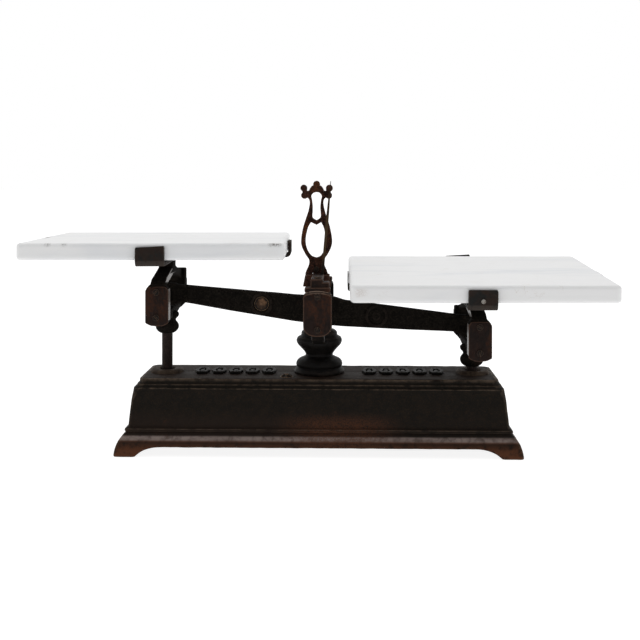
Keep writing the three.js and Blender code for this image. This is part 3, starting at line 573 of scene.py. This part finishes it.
# ---------------------------------------------------------------- base
BASE_HALF_X, BASE_HALF_Y, BASE_TOP_Z, BASE_CEILING_Z = 208, 46, 85, 79
BASE_CORNER = 3
ROD_X = 183.4
APRON_RISE, FOOT_ALONG_X, FOOT_ALONG_Y = 11, 27, 20
SEAL_AT = (-37.5, -29)


def apron(distance, run):
    """Height of the apron's edge at a distance inwards from a foot."""
    if distance <= 0:
        return 0.0
    t = min((1 + 3 * distance / run) ** 0.5 - 1, 1)
    return APRON_RISE * (2 * t - t * t)


def clear_height(x, y):
    """Height of the apron's edge over a point of the plan. It is 0 at the four feet."""
    on_long_wall = abs(y) - BASE_HALF_Y > abs(x) - BASE_HALF_X
    if on_long_wall:
        return apron(BASE_HALF_X + 1 - abs(x), FOOT_ALONG_X)
    return apron(BASE_HALF_Y + 3 - abs(y), FOOT_ALONG_Y)


def at_height(section, height):
    """Outset of a section, which is (outset, height) from the bottom up, at a height."""
    for (a, low), (b, high) in zip(section, section[1:]):
        if low <= height <= high and high > low:
            return a + (b - a) * (height - low) / (high - low)
    return section[0][0]


@cache
def base_plan(half_x, half_y):
    return rim(half_x, half_y, BASE_CORNER)


def base_walls():
    """The four walls as one loop of rings: up the outside, over the top and down the inside."""
    outer = [(25.0, 0), (25.5, 0.6), (25.6, 1.4)]
    outer += flowing([(25.6, 2.6), (24.9, 6.4), (23.6, 11), (21.4, 16.6), (17.6, 22), (14.2, 25.4)], 4)
    outer += flowing([(13.7, 26), (14.7, 27), (15, 28.4), (14.6, 29.8), (13, 30.8), (11.6, 31.6)], 3)
    outer += [(11.2 - 4.2 * i / 12, 34 + 40 * i / 12) for i in range(13)]
    outer += [(7.0, 74.6), (6.5, 75.2), (4.6, 76.4), (3.9, 76.9), (3.7, 77.5), (3.6, 78.4), (3.4, 79),
              (2.9, 79.4), (1.7, 80.3), (1.3, 80.8), (1.1, 81.6), (1.1, 83.6), (0.8, 84.4), (0, BASE_TOP_Z)]
    inner = [(19.8, 0), (18.4, 9), (14.6, 16.5), (8, 25.5), (5, 33), (1, 72), (-3, BASE_CEILING_Z)]
    section = outer + [(-3, BASE_TOP_Z)] + inner[::-1]
    verts, loops = [], []
    for k, (outset, height) in enumerate(section):
        wall = outer if k < len(outer) else inner
        loops.append(len(verts))
        rounder = 6 * min(max((height - 62) / 12, 0), 1) if k < len(outer) else 0
        plan = rim(BASE_HALF_X + outset, BASE_HALF_Y + outset, BASE_CORNER + rounder)
        for i, (x, y) in enumerate(plan):
            least = clear_height(x, y)
            if height < least:
                reach = at_height(wall, least)
                x, y = base_plan(round(BASE_HALF_X + reach, 3), round(BASE_HALF_Y + reach, 3))[i]
            verts.append((x, y, max(height, least)))
    count = len(plan)
    return verts, loops_to_faces(loops, count, True)


def ornament(shape, x):
    """One raised lozenge: a six-sided frame with a smaller one, filled, inside it."""
    def lozenge(wide, deep):
        corners = [(-8.8, 0), (-5.4, -14), (5.4, -14), (8.8, 0), (5.4, 14), (-5.4, 14)]
        return [(x + across * wide, -2 + along * deep) for across, along in corners]
    foot = BASE_TOP_Z - 0.4
    shape.plate(rounded(lozenge(1, 1), 1.2), foot, 88.4, [rounded(lozenge(0.52, 0.66), 0.6)], 0.7, "top")
    shape.plate(rounded(lozenge(0.3, 0.4), 0.5), foot, 87.9, (), 0.5, "top")


def build_base():
    shape = Shape().add(*base_walls())
    top = rim(BASE_HALF_X - 3, BASE_HALF_Y - 3, 6, 20, 8, 6)
    holes = [circle(9.5, side * ROD_X) for side in (-1, 1)] + [circle(8.3)]
    shape.plate(top, BASE_CEILING_Z, BASE_TOP_Z, holes, 0.02, "top")
    boss = [(9.5, 84), (20, 84.6), (19.9, 86.4), (19.2, 87.8), (18, 88.9), (16.4, 89.4), (12, 89.5),
            (10.3, 89.1), (9.5, 88.2), (9.5, 84)]
    for side in (-1, 1):
        shape.lathe(boss, 72, moved(side * ROD_X, 0, 0))
    shape.piece("base_shell", "base", "black_cast_iron", "base_casting", cast=COARSE_CAST)
    raised = Shape()
    for side in (-1, 1):
        for x in range(60, 141, 20):
            ornament(raised, side * x)
    raised.piece("base_ornament", "base", "black_cast_iron", cast=COARSE_CAST, finish="column_iron")
    rosette = Shape().add(*polar_relief(8, 3.1, 6, 0.75))
    rosette.lathe([(0, 2.2), (2.4, 2.2), (2.2, 3.6), (0, 4.0)], 32)
    rosette.piece("seal_rosette", "base", "worn_brown_metal", "seal_plug",
                  moved(*SEAL_AT, BASE_TOP_Z), (0.12, 3), "dark_boss")


# ---------------------------------------------------------------- column, bridge and pointer frame
CHEEK_IN, CHEEK_OUT, POCKET_Y, COVER_THICK, GAP = 60, 73.7, 65, 2.7, 0.3
COVER_Y = CHEEK_OUT + GAP
FORK_HALF = 16.2
BRIDGE_FOOT_Z, BRIDGE_TOP_Z = 188.3, 203.6
POINTER_X = -3.4
THICK_LIMB = 10.9 / 13.2  # narrows the right half of the lower window, so that limb is thicker


def span_on(side, near, far):
    """The range in Y between two distances from the middle, on the front (-1) or the back (1)."""
    return (-far, -near) if side < 0 else (near, far)


def cheek(shape, side, outline, pocket, window):
    """The plate that holds one bearing: a pocket in its outer part and a window in its inner part."""
    layers = [(POCKET_Y - 0.3, CHEEK_OUT, pocket), (CHEEK_IN, POCKET_Y + 0.3, window)]
    for near, far, hole in layers:
        shape.plate(rounded(outline, 2), *span_on(side, near, far), [box_outline(*hole)], 1.0)


def build_column():
    foot = [(0, 85.3), (29.6, 85.3), (30.2, 86.2), (30.1, 88), (29.2, 89.8), (27.6, 91)]
    neck = flowing([(27.0, 91.8), (26.5, 92.6), (27.4, 94), (27.8, 96.2), (26.9, 99), (24.2, 101.8),
                    (19.8, 103.9), (16.8, 105.5), (16.3, 107.4), (17.6, 110), (21.4, 114.6), (25.4, 119),
                    (27.1, 122.4), (27.2, 124.9), (26, 127.6)], 4)
    head = [(22.4, 129.6), (21.7, 130.4), (21.4, 133.4), (20.6, 134.8), (18.4, 136.4), (0, 136.5)]
    shape = Shape().lathe(foot + neck + head, 96)
    tip = CHEEK_OUT - 1.5
    fork = mirrored([(0, 120), (17, 120), (58, 132), (tip, 143), (tip, 152), (CHEEK_IN, 152), (50, 142.5),
                     (14, 137.5), (0, 137.5)])
    shape.plate(rounded(fork, 3), -7.4, 7.4, (), 1.6, "side")
    outline = mirrored([(0, 139.5), (9.5, 139.5), (FORK_HALF, 146), (FORK_HALF, 185), (13.5, 188),
                        (0, 188)])
    for side in (-1, 1):
        cheek(shape, side, outline, (-9.3, 9.3, 150, 180.5), (-7.6, 7.6, 160.5, 179))
    shape.piece("column_body", "base", "black_cast_iron", "column_casting", cast=MEDIUM_CAST,
                finish="column_iron")
    chin = [(0, 138.6), (5.4, 139.0), (9.8, 140.4), (13.2, 143.0), (15.4, 146.4), (FORK_HALF, 150)]
    spring = 183.2
    arc = [(FORK_HALF * cos(radians(a)), spring + 5 * sin(radians(a))) for a in range(15, 180, 15)]
    cover = [(-x, z) for x, z in reversed(chin[1:])] + chin
    cover += [(FORK_HALF, spring), *arc, (-FORK_HALF, spring)]
    for side, face in ((-1, "front"), (1, "back")):
        build_cover(f"centre_{face}_plate", f"centre_cover_{face}", "base", side, cover, 1.3)
        # The arch band's pale edges are partly a painted highlight.
        arch = Shape().add(*arch_band(side))
        arch.piece(f"centre_{face}_arch", "base", "brown_iron", cast=SMOOTH_CAST, finish="centre_highlight_iron")


def build_cover(name, node, body, side, outline, edge, place=UNMOVED):
    span = span_on(side, COVER_Y, COVER_Y + COVER_THICK)
    shape = Shape().plate(rounded(outline, 1.6), *span, (), edge)
    shape.piece(name, body, "brown_iron", node, place, SMOOTH_CAST)


def arch_band(side):
    """The sloping band along the arched top of a centre cover, as rows of (across, out, up)."""
    section = [(1, 0.1, -0.1), (1, 0.7, 0), (0.98, 1.6, -1.4), (0.96, 2.5, -2.9), (0.94, 2.5, -4.2),
               (0.94, 0.1, -4.2)]
    rows = []
    for angle in range(6, 175, 6):
        x, z = (FORK_HALF - 0.4) * cos(radians(angle)), 185.4 + 5.1 * sin(radians(angle))
        rows.append([(inward * x, COVER_Y + out, z + up) for inward, out, up in section])
    count = len(section)
    verts = [(x, side * out, z) for row in rows for x, out, z in row]
    faces = loops_to_faces([k * count for k in range(len(rows))], count, False)
    faces += [tuple(reversed(range(count))), tuple((len(rows) - 1) * count + i for i in range(count))]
    return verts, faces


def build_bridge():
    shape = Shape()
    end = CHEEK_OUT - 2.5
    for side in (-1, 1):
        arm = [(12, 197), (50, 197), (57, 192.5), (59, BRIDGE_FOOT_Z), (end, BRIDGE_FOOT_Z),
               (end, BRIDGE_TOP_Z), (12, BRIDGE_TOP_Z)]
        shape.plate(rounded([(side * across, up) for across, up in arm], 2), -8, 6, (), 1.2, "side")
        ledge = box_outline(-14.8, 14.6, BRIDGE_FOOT_Z, 194, 2)
        shape.plate(ledge, *span_on(side, CHEEK_IN, CHEEK_OUT), (), 1.4)
    block = box_outline(-3.2, 13.4, BRIDGE_FOOT_Z, BRIDGE_TOP_Z - 4, 1.6)
    shape.plate(block, -end, -48, (), 1.3)
    saddle, top = Shape(), 202.8
    saddle.plate(box_outline(-17.8, 13.1, -14, 9, 3), 189, top, [box_outline(-11.5, 11.5, -8.5, 3.2, 1)], 1.0,
                 "top")
    for vert in saddle.verts:
        if vert.x > 12.5 or vert.x < -12:
            vert.x = POINTER_X + (vert.x - POINTER_X) * (0.92 + 0.013 * (top - vert.z))
    saddle.piece("bridge_saddle", "base", "brown_iron", cast=FINE_CAST, finish="pointer_iron")
    shape.piece("bridge_body", "base", "brown_iron", "bridge_bar", cast=FINE_CAST)


def pointer_outline():
    flank = flowing([(13.9, 202.5), (13.2, 204.6), (12.0, 207.8), (10.2, 211.6), (9.0, 215.4), (9.5, 220.4),
                     (13.6, 226.6), (17.6, 235), (18.8, 243), (17.2, 255), (14.2, 266), (10.2, 278),
                     (8.4, 287), (9.0, 292.4), (11.0, 294.6)], 5)
    crown = flowing([(10.4, 303.0), (9.0, 303.6), (8.2, 305.6), (5.4, 309), (0, 311)], 5)
    right = [(0, 195), (6, 195), (6, 202.5), *flank, (14.4, 294.4), (14.4, 302.4), *crown]
    return mirrored(right)


def build_pointer():
    lower = mirrored([*flowing([(0, 222.6), (6, 224.8), (11, 232), (13.2, 241), (12.4, 250), (10.2, 259),
                                (6.7, 265)], 5), (0, 261.7)])
    lower = [(THICK_LIMB * x if x > 0 else x, z) for x, z in lower]
    upper = mirrored(flowing([(0, 267.6), (3.4, 269.6), (5, 272.6), (4.5, 282), (5.2, 291), (6.2, 296.8),
                              (3.6, 300.4), (0, 301.4)], 5))
    shape = Shape().plate(pointer_outline(), 4, 8, [lower, upper], 1.3)
    ball = [(4.2 * sin(radians(a)), -4.2 * cos(radians(a))) for a in range(0, 181, 12)]
    for x, z in ((15.4, 306.2), (-15.4, 306.2), (14.6, 297.4), (-14.6, 297.4), (0, 310.9)):
        shape.lathe(ball, 32, moved(x, 6, z) @ Matrix.Diagonal((1, 0.8, 1, 1)))
    for side in (-1, 1):
        horn = box_outline(side * 14.3 - 2.9, side * 14.3 + 2.9, 297, 305.4)
        shape.plate(horn, 4.2, 7.8, (), 1.0)
    shape.piece("pointer_lyre", "base", "pointer_iron", "pointer_frame",
                moved(POINTER_X, 0, 0), (0.16, 5))


# ---------------------------------------------------------------- screws
def half_disc(radius, gap, side):
    """The part of a disc that lies more than a gap to one side of its middle."""
    reach = atan2((radius ** 2 - gap ** 2) ** 0.5, gap)
    return [(side * radius * cos(reach * k / 8), radius * sin(reach * k / 8)) for k in range(-8, 9)]


def slotted_screw(name, body, place, radius, tall, slot_turn, finish=None):
    """A head with the start of its shank: a full disc, and two half discs that leave the slot."""
    shape = Shape().lathe([(0, -2), (1.6, -2), (1.6, 0), (radius * 0.94, 0), (radius, 0.25 * tall),
                           (radius, 0.62 * tall), (0, 0.62 * tall)], 40)
    for side in (-1, 1):
        shape.plate(half_disc(radius, radius * 0.15, side), 0.5 * tall, tall, (), tall * 0.16, "top")
    place = place @ Matrix.Rotation(slot_turn, 4, "Z")
    shape.piece(f"{name}_head", body, "screw_steel", name, place, (0.05, 2), finish)


def build_screws():
    turns = [0.75, 2.3, 0.2, 1.6, 2.9, 1.1]  # where each slot points, in radians
    faced = [name for name in sorted(nodes) if "_screw_" in name and not name.startswith("bridge")]
    for i, name in enumerate(faced + ["pointer_screw"]):
        low, high = (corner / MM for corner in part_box(name))
        side = 1 if "back" in name else -1
        radius, tall = (high.x - low.x) / 2, 1.5 if name == "pointer_screw" else 1.6
        seat = high.y - tall if side > 0 else low.y + tall
        place = moved((low.x + high.x) / 2, seat, (low.z + high.z) / 2) @ facing(side)
        slotted_screw(name, nodes[name]["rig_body"], place, radius, tall, turns[i % len(turns)])
    for i, name in enumerate(("bridge_screw_front", "bridge_screw_back")):
        low, high = (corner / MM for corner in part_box(name))
        place = moved((low.x + high.x) / 2, (low.y + high.y) / 2, high.z - 2)
        slotted_screw(name, "base", place, 3.8, 2, turns[i])
    lug = cross_place(1) @ moved(LUG_SHIFT, -LUG_REACH_Y - LUG_THICK - GAP, 7.5) @ facing(-1)
    slotted_screw("right_lug_screw", "right_carrier", lug, 2.4, 1.2, 0.9, finish="bright_screw")


# ---------------------------------------------------------------- beam and needle
MEDALLION_AT, MEDALLION_UP, BEAM_HALF_Y, NEEDLE_FOOT = 69, -2.5, 7, 15.4


def build_beam():
    right = [(0, 15), (12, 15), (19, 14.2), (29, 11.9), (60, 11.6), (153, 9.6), (172, 9.4), (178, 10.6),
             (189, 10.6), (194.5, 6), (194.5, -9), (189, -15.5), (174, -15.5), (164, -10.8), (150, -11.6),
             (110, -14.4), (30, -19), (0, -19.5)]
    left = [(-x, z) for x, z in [(14, 13), (28, 12.2), *right[4:]]]
    outline = right[:-1] + left[::-1]
    shape = Shape().plate(rounded(outline, 3), -BEAM_HALF_Y, BEAM_HALF_Y, (), 1.5)
    left_at, right_at = (moved(side * MEDALLION_AT, -BEAM_HALF_Y, MEDALLION_UP) @ facing(-1)
                         for side in (-1, 1))
    for at in (left_at, right_at):
        shape.lathe(ring_profile(10, 13.4, -0.4, 2, 1.2), 72, at)
    shape.lathe([(0, -0.4), (5, -0.4), (4.9, 0.8), (4.2, 1.2), (2.6, 1.1), (0, 1.2)], 40, right_at)
    shape.piece("beam_body", "beam", "beam_iron", "beam_casting", BEAM, (0.2, 9))
    ring = Shape().lathe([(0, -1.2), (8.4, -1.2), (8.6, 0.1), (8.2, 0.5), (0, 0.5)], 48)
    ring.piece("beam_plug_ring", "beam", "worn_brown_metal", (), BEAM @ left_at, (0.12, 3), "dark_boss")
    plug = Shape().add(*polar_relief(7.2, 2.3, 7, 0.3))
    plug.piece("beam_plug_dome", "beam", "worn_brown_metal", "beam_plug", BEAM @ left_at, (0.12, 3),
               "ochre_boss")
    build_needle()


def build_needle():
    """A thin blade, bent a little from the line of its collar."""
    right = [(0.35, 152.3), (0.6, 143), (1.1, 131), (1.5, 116), (1.7, 99), (1.6, 84), (1.5, 60), (1.7, 32),
             (2.3, 22)]
    blade = right + [(-x, z) for x, z in reversed(right)]
    foot = moved(0, 0, NEEDLE_FOOT)
    bent = foot @ Matrix.Rotation(radians(-0.9), 4, "Y") @ foot.inverted()
    hand = Shape().plate(blade, -1.1, 1.1, (), 0.18, "front", bent)
    hand.lathe([(0, 12.4), (2, 12.4), (2, NEEDLE_FOOT), (4.2, NEEDLE_FOOT), (4.4, 16), (4.4, 19), (3.6, 21.4),
                (2.6, 23.8), (0, 24.2)], 32)
    place = BEAM @ moved(0, -3.4, 0)
    hand.piece("needle_hand", "beam", "worn_brown_metal", "needle", place, (0.05, 9))


# ---------------------------------------------------------------- carriers
CHEEK_HALF, HUB_HALF_X = 13, 8.5
CARRIER_YAW = radians(0.8)


def both_ways(half):
    return half + [(-across, up) for across, up in reversed(half)]


def build_stirrup(name, place, lean_drop):
    """The bow that holds both bearings, with a hub for the cross above and a bead for the rod below."""
    hub_top = CROSS_Z - GAP - lean_drop
    ledge = 22.4 if name == "left" else 14.2
    out = CHEEK_OUT - 1
    front = [(12, -31), (62, -28), (out, -22), (out, 11), (69, 17), (60, 21), (38, 25), (12, 30),
             (12, hub_top)]
    back = [(12, -31), (52, -26), (out, -18), (out, ledge), (38, max(ledge, 20)), (24, 27.5), (12, 30),
            (12, hub_top)]
    bow = back + [(-across, up) for across, up in reversed(front)]
    inside = both_ways([(52, -19.5), (CHEEK_IN, -15), (CHEEK_IN, 9), (52, 13), (34, 16.4), (10, 21)])
    shape = Shape().plate(rounded(bow, 3), -HUB_HALF_X, HUB_HALF_X, [rounded(inside, 3)], 1.6, "side")
    top = [(CHEEK_HALF, 9.5), (HUB_HALF_X, 15)]
    pocket, window = (-7.6, 7.6, -16, 10), (-7.2, 7.2, -14.2, 3.2)
    cheek(shape, -1, mirrored([(0, -31), (8, -30.6), (CHEEK_HALF, -28), *top]), pocket, window)
    cheek(shape, 1, mirrored([(6, -28.2), (CHEEK_HALF, -20), (CHEEK_HALF, ledge)]), pocket, window)
    bead = flowing([(11.4, -36.7), (10.4, -35.2), (10.8, -33), (12.8, -31), (13.9, -28.6), (13.4, -26),
                    (11, -24)], 4)
    shape.lathe([(0, -36.7), *bead, (0, -24)], 64)
    made = shape.piece(f"{name}_stirrup_body", f"{name}_carrier", "beam_iron", f"{name}_stirrup", place,
                       MEDIUM_CAST)
    paint_side_highlight(made, 1 if name == "left" else -1)


def paint_side_highlight(made, toward):
    """The front cheek and the arm above it get a painted highlight, a paler and glossier iron, on the side
    that faces the column.
    """
    made.data.materials.append(MATERIALS["highlit_side_iron"])
    knife_z = (KNIFE_Z + toward * ARM * sin(REST_TILT)) * MM
    for face in made.data.polygons:
        across, up = face.center.y / MM, (face.center.z - knife_z) / MM
        on_cheek = across < -CHEEK_IN and -26 < up < 9
        on_arm = -56 < across < -14 and up > 14
        if face.normal.x * toward > 0.9 and (on_cheek or on_arm):
            face.material_index = 1


def build_rod(name, place):
    collar = flowing([(6.6, -50.5), (9.2, -49.6), (12.4, -46.8), (13.9, -43), (13.4, -39.6),
                      (11.8, -37.1)], 5)
    top = Shape().lathe([(0, -50.6), *collar, (4.7, -37), (4.7, -23.3), (0, -23.3)], 64)
    top.piece(f"{name}_rod_collar", f"{name}_carrier", "beam_iron", (), place, (0.12, 8))
    bar = [(6.4, -108 + 4 * i) for i in range(15)]
    shape = Shape().lathe([(0, -111), (6, -111), (6.4, -110.5), *bar, (6.4, -49), (0, -49)], 64)
    shape.plate(box_outline(-6.3, 6.3, -128, -109, 2), -3, 3, [circle(2.8, 0, -121, 24)], 0.6)
    shape.piece(f"{name}_rod_bar", f"{name}_carrier", "beam_iron", f"{name}_rod", place, (0.12, 8),
                "rod_iron")


def upturned_bar(reach):
    """A flat bar seen from its edge, with both ends bent up into lugs."""
    bend, tall = 6.5, 19.5

    def bent(radius, degrees):
        edge = reach + LUG_THICK - bend
        return [(edge + radius * sin(radians(a)), bend - radius * cos(radians(a))) for a in degrees]
    outside, inside = bent(bend, range(0, 91, 15)), bent(bend - LUG_THICK, range(90, -1, -15))
    return both_ways(outside + [(reach + LUG_THICK, tall), (reach, tall)] + inside)


def build_cross(name, side, place):
    """Two crossed bars. Each cross is bent in its own way, and the right one is cut short on its left."""
    half_wide, bar_shift = 16, 0 if side < 0 else LUG_SHIFT
    shape = Shape()
    shape.plate(upturned_bar(LUG_REACH_Y), bar_shift - half_wide, bar_shift + half_wide, (), 0.7, "side")
    shape.plate(upturned_bar(LUG_REACH_X), -half_wide, half_wide, (), 0.7)
    drop, slant = (2.2, 0.056) if side < 0 else (3.2, 0)
    for vert in shape.verts:
        from_side = min(abs(abs(vert.x - bar_shift) - half_wide), abs(abs(vert.y) - half_wide))
        if vert.z > 18.6 and from_side < 0.4:  # top corners of the lugs
            vert.z -= 1.2
        if vert.y < -105 and vert.z < 8:  # underside of the front lug
            vert.z -= drop * min((-vert.y - 105) / 12, 1)
        elif vert.y < -115:  # top of the front lug
            vert.z += slant * vert.x
        elif vert.y > 115 and vert.z > 10 and side > 0:  # back lug of the right cross
            vert.z += 5 + 0.06 * vert.x
        if side > 0:
            vert.x = max(vert.x, -149)
    shape.piece(f"{name}_cross_strips", f"{name}_carrier", "dark_steel", f"{name}_cross", place, (0.15, 14))


LEFT_SLAB_CHIPS = [(False, 128, 144, 0.7, 1.5), (False, -116, -108, 0.3, 0.7), (False, -98, -90, 0.3, 0.7),
                   (True, -22, 13, 0.2, 3.5)]


def marble_slab(name, place, thick, chips):
    """A slab with rounded edges. Each chip in its top edge is (on the left?, from, to, depth, dirt)."""
    half_x, half_y, foot, edge = 147.15, 122, LUG_THICK + GAP, 4.0
    top = foot + thick
    turn = [radians(15 * i) for i in range(7)]
    section = [(edge - edge * sin(a), foot + edge - edge * cos(a)) for a in turn]
    section += [(0, foot + edge + (thick - 2 * edge) * i / 6) for i in range(1, 6)]
    section += [(edge - edge * cos(a), top - edge + edge * sin(a)) for a in turn]
    section += [(6, top), (8.5, top)]
    verts, loops = [], []
    for inset, height in section:
        loops.append(len(verts))
        plan = rim(half_x - inset, half_y - inset, max(6.5 - inset, 0.5), 290, 60, 8)
        verts += [Vector((x, y, height)) for x, y in plan]
    count = len(plan)
    grime = [0.0] * len(verts)
    for i, vert in enumerate(verts):
        for on_left, start, end, depth, dirt in chips:
            along, inset = (vert.y, vert.x + half_x) if on_left else (vert.x, vert.y + half_y)
            middle, drop, width = (4.5, 0.5, 5) if on_left else (1.2, 1.2, 3.4)
            if inset < 6.1 and vert.z > top - 4.5 and start < along < end:
                fall = sin(pi * (along - start) / (end - start)) ** 0.5 * (0.5 + noise.noise(vert * 0.8))
                reach = max(0, 1 - hypot(inset - middle, vert.z - top + drop) / width)
                vert.z -= depth * fall * reach
                grime[i] = min(1, max(grime[i], fall * reach * dirt))
    faces = loops_to_faces(loops, count, False)
    faces += [tuple(reversed(range(count))), tuple(loops[-1] + i for i in range(count))]
    shape = Shape().add(verts, faces)
    made = shape.piece(f"{name}_marble", f"{name}_plate", "white_marble", f"{name}_plate", place, (0.1, 30))
    layer = made.data.attributes.new("grime", "FLOAT", "POINT")
    if len(made.data.vertices) == len(grime):
        layer.data.foreach_set("value", grime)


def build_carrier(side):
    name = "left" if side < 0 else "right"
    cross = cross_place(side)
    place = carrier_place(side) @ moved(-0.5, 0, 0) @ Matrix.Rotation(CARRIER_YAW, 4, "Z")
    lean_drop = 0 if side < 0 else sin(PLATE_LEAN) * 15
    build_stirrup(name, place, lean_drop)
    build_rod(name, place)
    covers = {"front": [(0, -32.4), (7, -31.8), (13.2, -28.8), (13.2, 8.5), (9.5, 12.6)],
              "back": [(5.5, -28.6), (13.2, -21), (13.2, 8.5), (9.5, 12.6)]}
    for facing_side, (face, right_half) in zip((-1, 1), covers.items()):
        build_cover(f"{name}_{face}_plate", f"{name}_{face}_cover", f"{name}_carrier", facing_side,
                    mirrored(right_half), 0.9, place)
    build_cross(name, side, cross)
    if side < 0:
        marble_slab(name, cross, 19, LEFT_SLAB_CHIPS)
    else:
        marble_slab(name, cross, 19.6, ())


# ---------------------------------------------------------------- CAD nodes that keep their own shape
CAD_BEVEL, CAD_SHARP = 0.4, radians(35)


def finish_frame():
    """Gives every CAD node its material and a small bevel."""
    slots = {row["node"]: row["material_slot"] for row in frame["record"]["subparts"]}
    for name in sorted(nodes):
        node = nodes[name]
        node.data.materials.clear()
        node.data.materials.append(MATERIALS[slots[name]])
        node.modifiers.new("weld", "WELD").merge_threshold = 1e-6
        bevel = node.modifiers.new("bevel", "BEVEL")
        bevel.width, bevel.segments, bevel.angle_limit = CAD_BEVEL * MM, 2, CAD_SHARP
        shade(node)


# ---------------------------------------------------------------- stage, light and camera
WHITE, GREY = (1, 1, 1, 1), (0.35, 0.35, 0.35, 1)


def build_stage():
    """A wide floor that glows a little, so that it stays as white as the background."""
    half = 30
    mesh = bpy.data.meshes.new("floor")
    mesh.from_pydata([(-half, -half, 0), (half, -half, 0), (half, half, 0), (-half, half, 0)], [],
                     [(0, 1, 2, 3)])
    mesh.materials.append(Shader("pale_floor").set(Base_Color=GREY, Roughness=0.9, Specular_IOR_Level=0.1,
                                                   Emission_Color=WHITE, Emission_Strength=0.88))
    in_scene("floor", mesh)


def build_light():
    """An even white surround, dimmer on the viewer's side, and one large soft lamp overhead."""
    world = bpy.data.worlds.new("studio")
    bpy.context.scene.world = world
    world.use_nodes = True
    tree = world.node_tree
    coord = tree.nodes.new("ShaderNodeTexCoord")
    split = tree.nodes.new("ShaderNodeSeparateXYZ")
    grade = tree.nodes.new("ShaderNodeMapRange")
    grade.interpolation_type = "SMOOTHSTEP"
    for socket, value in (("From Min", -0.75), ("From Max", 0.0), ("To Min", 0.34), ("To Max", 1.0)):
        grade.inputs[socket].default_value = value
    tree.links.new(coord.outputs["Generated"], split.inputs[0])
    tree.links.new(split.outputs["Y"], grade.inputs["Value"])
    tree.links.new(grade.outputs[0], tree.nodes["Background"].inputs["Strength"])
    tree.nodes["Background"].inputs["Color"].default_value = WHITE
    softbox = bpy.data.lights.new("softbox_above", "AREA")
    softbox.shape, softbox.size, softbox.size_y, softbox.energy = "RECTANGLE", 2.2, 1.4, 5
    lamp = in_scene("softbox_above", softbox)
    lamp.location = (-0.2, 0.1, 1.7)
    lamp.rotation_euler = (Vector((0, 0, 0.1)) - lamp.location).to_track_quat("-Z", "Y").to_euler()


def build_camera():
    """Level, just above the scale and straight ahead of it. The lens is shifted to frame it."""
    data = bpy.data.cameras.new("camera")
    data.sensor_width, data.lens, data.shift_y = 36, 59.0625, -0.21875
    camera = in_scene("camera", data)
    camera.location = (0.0357, -1.262, 0.316)
    camera.rotation_euler = (radians(90), 0, radians(1.582))
    bpy.context.scene.camera = camera


build_camera()
build_light()
build_stage()
finish_frame()
build_base()
build_column()
build_bridge()
build_pointer()
build_beam()
for carrier_side in (-1, 1):
    build_carrier(carrier_side)
build_screws()
bpy.context.scene.view_settings.view_transform = "Standard"
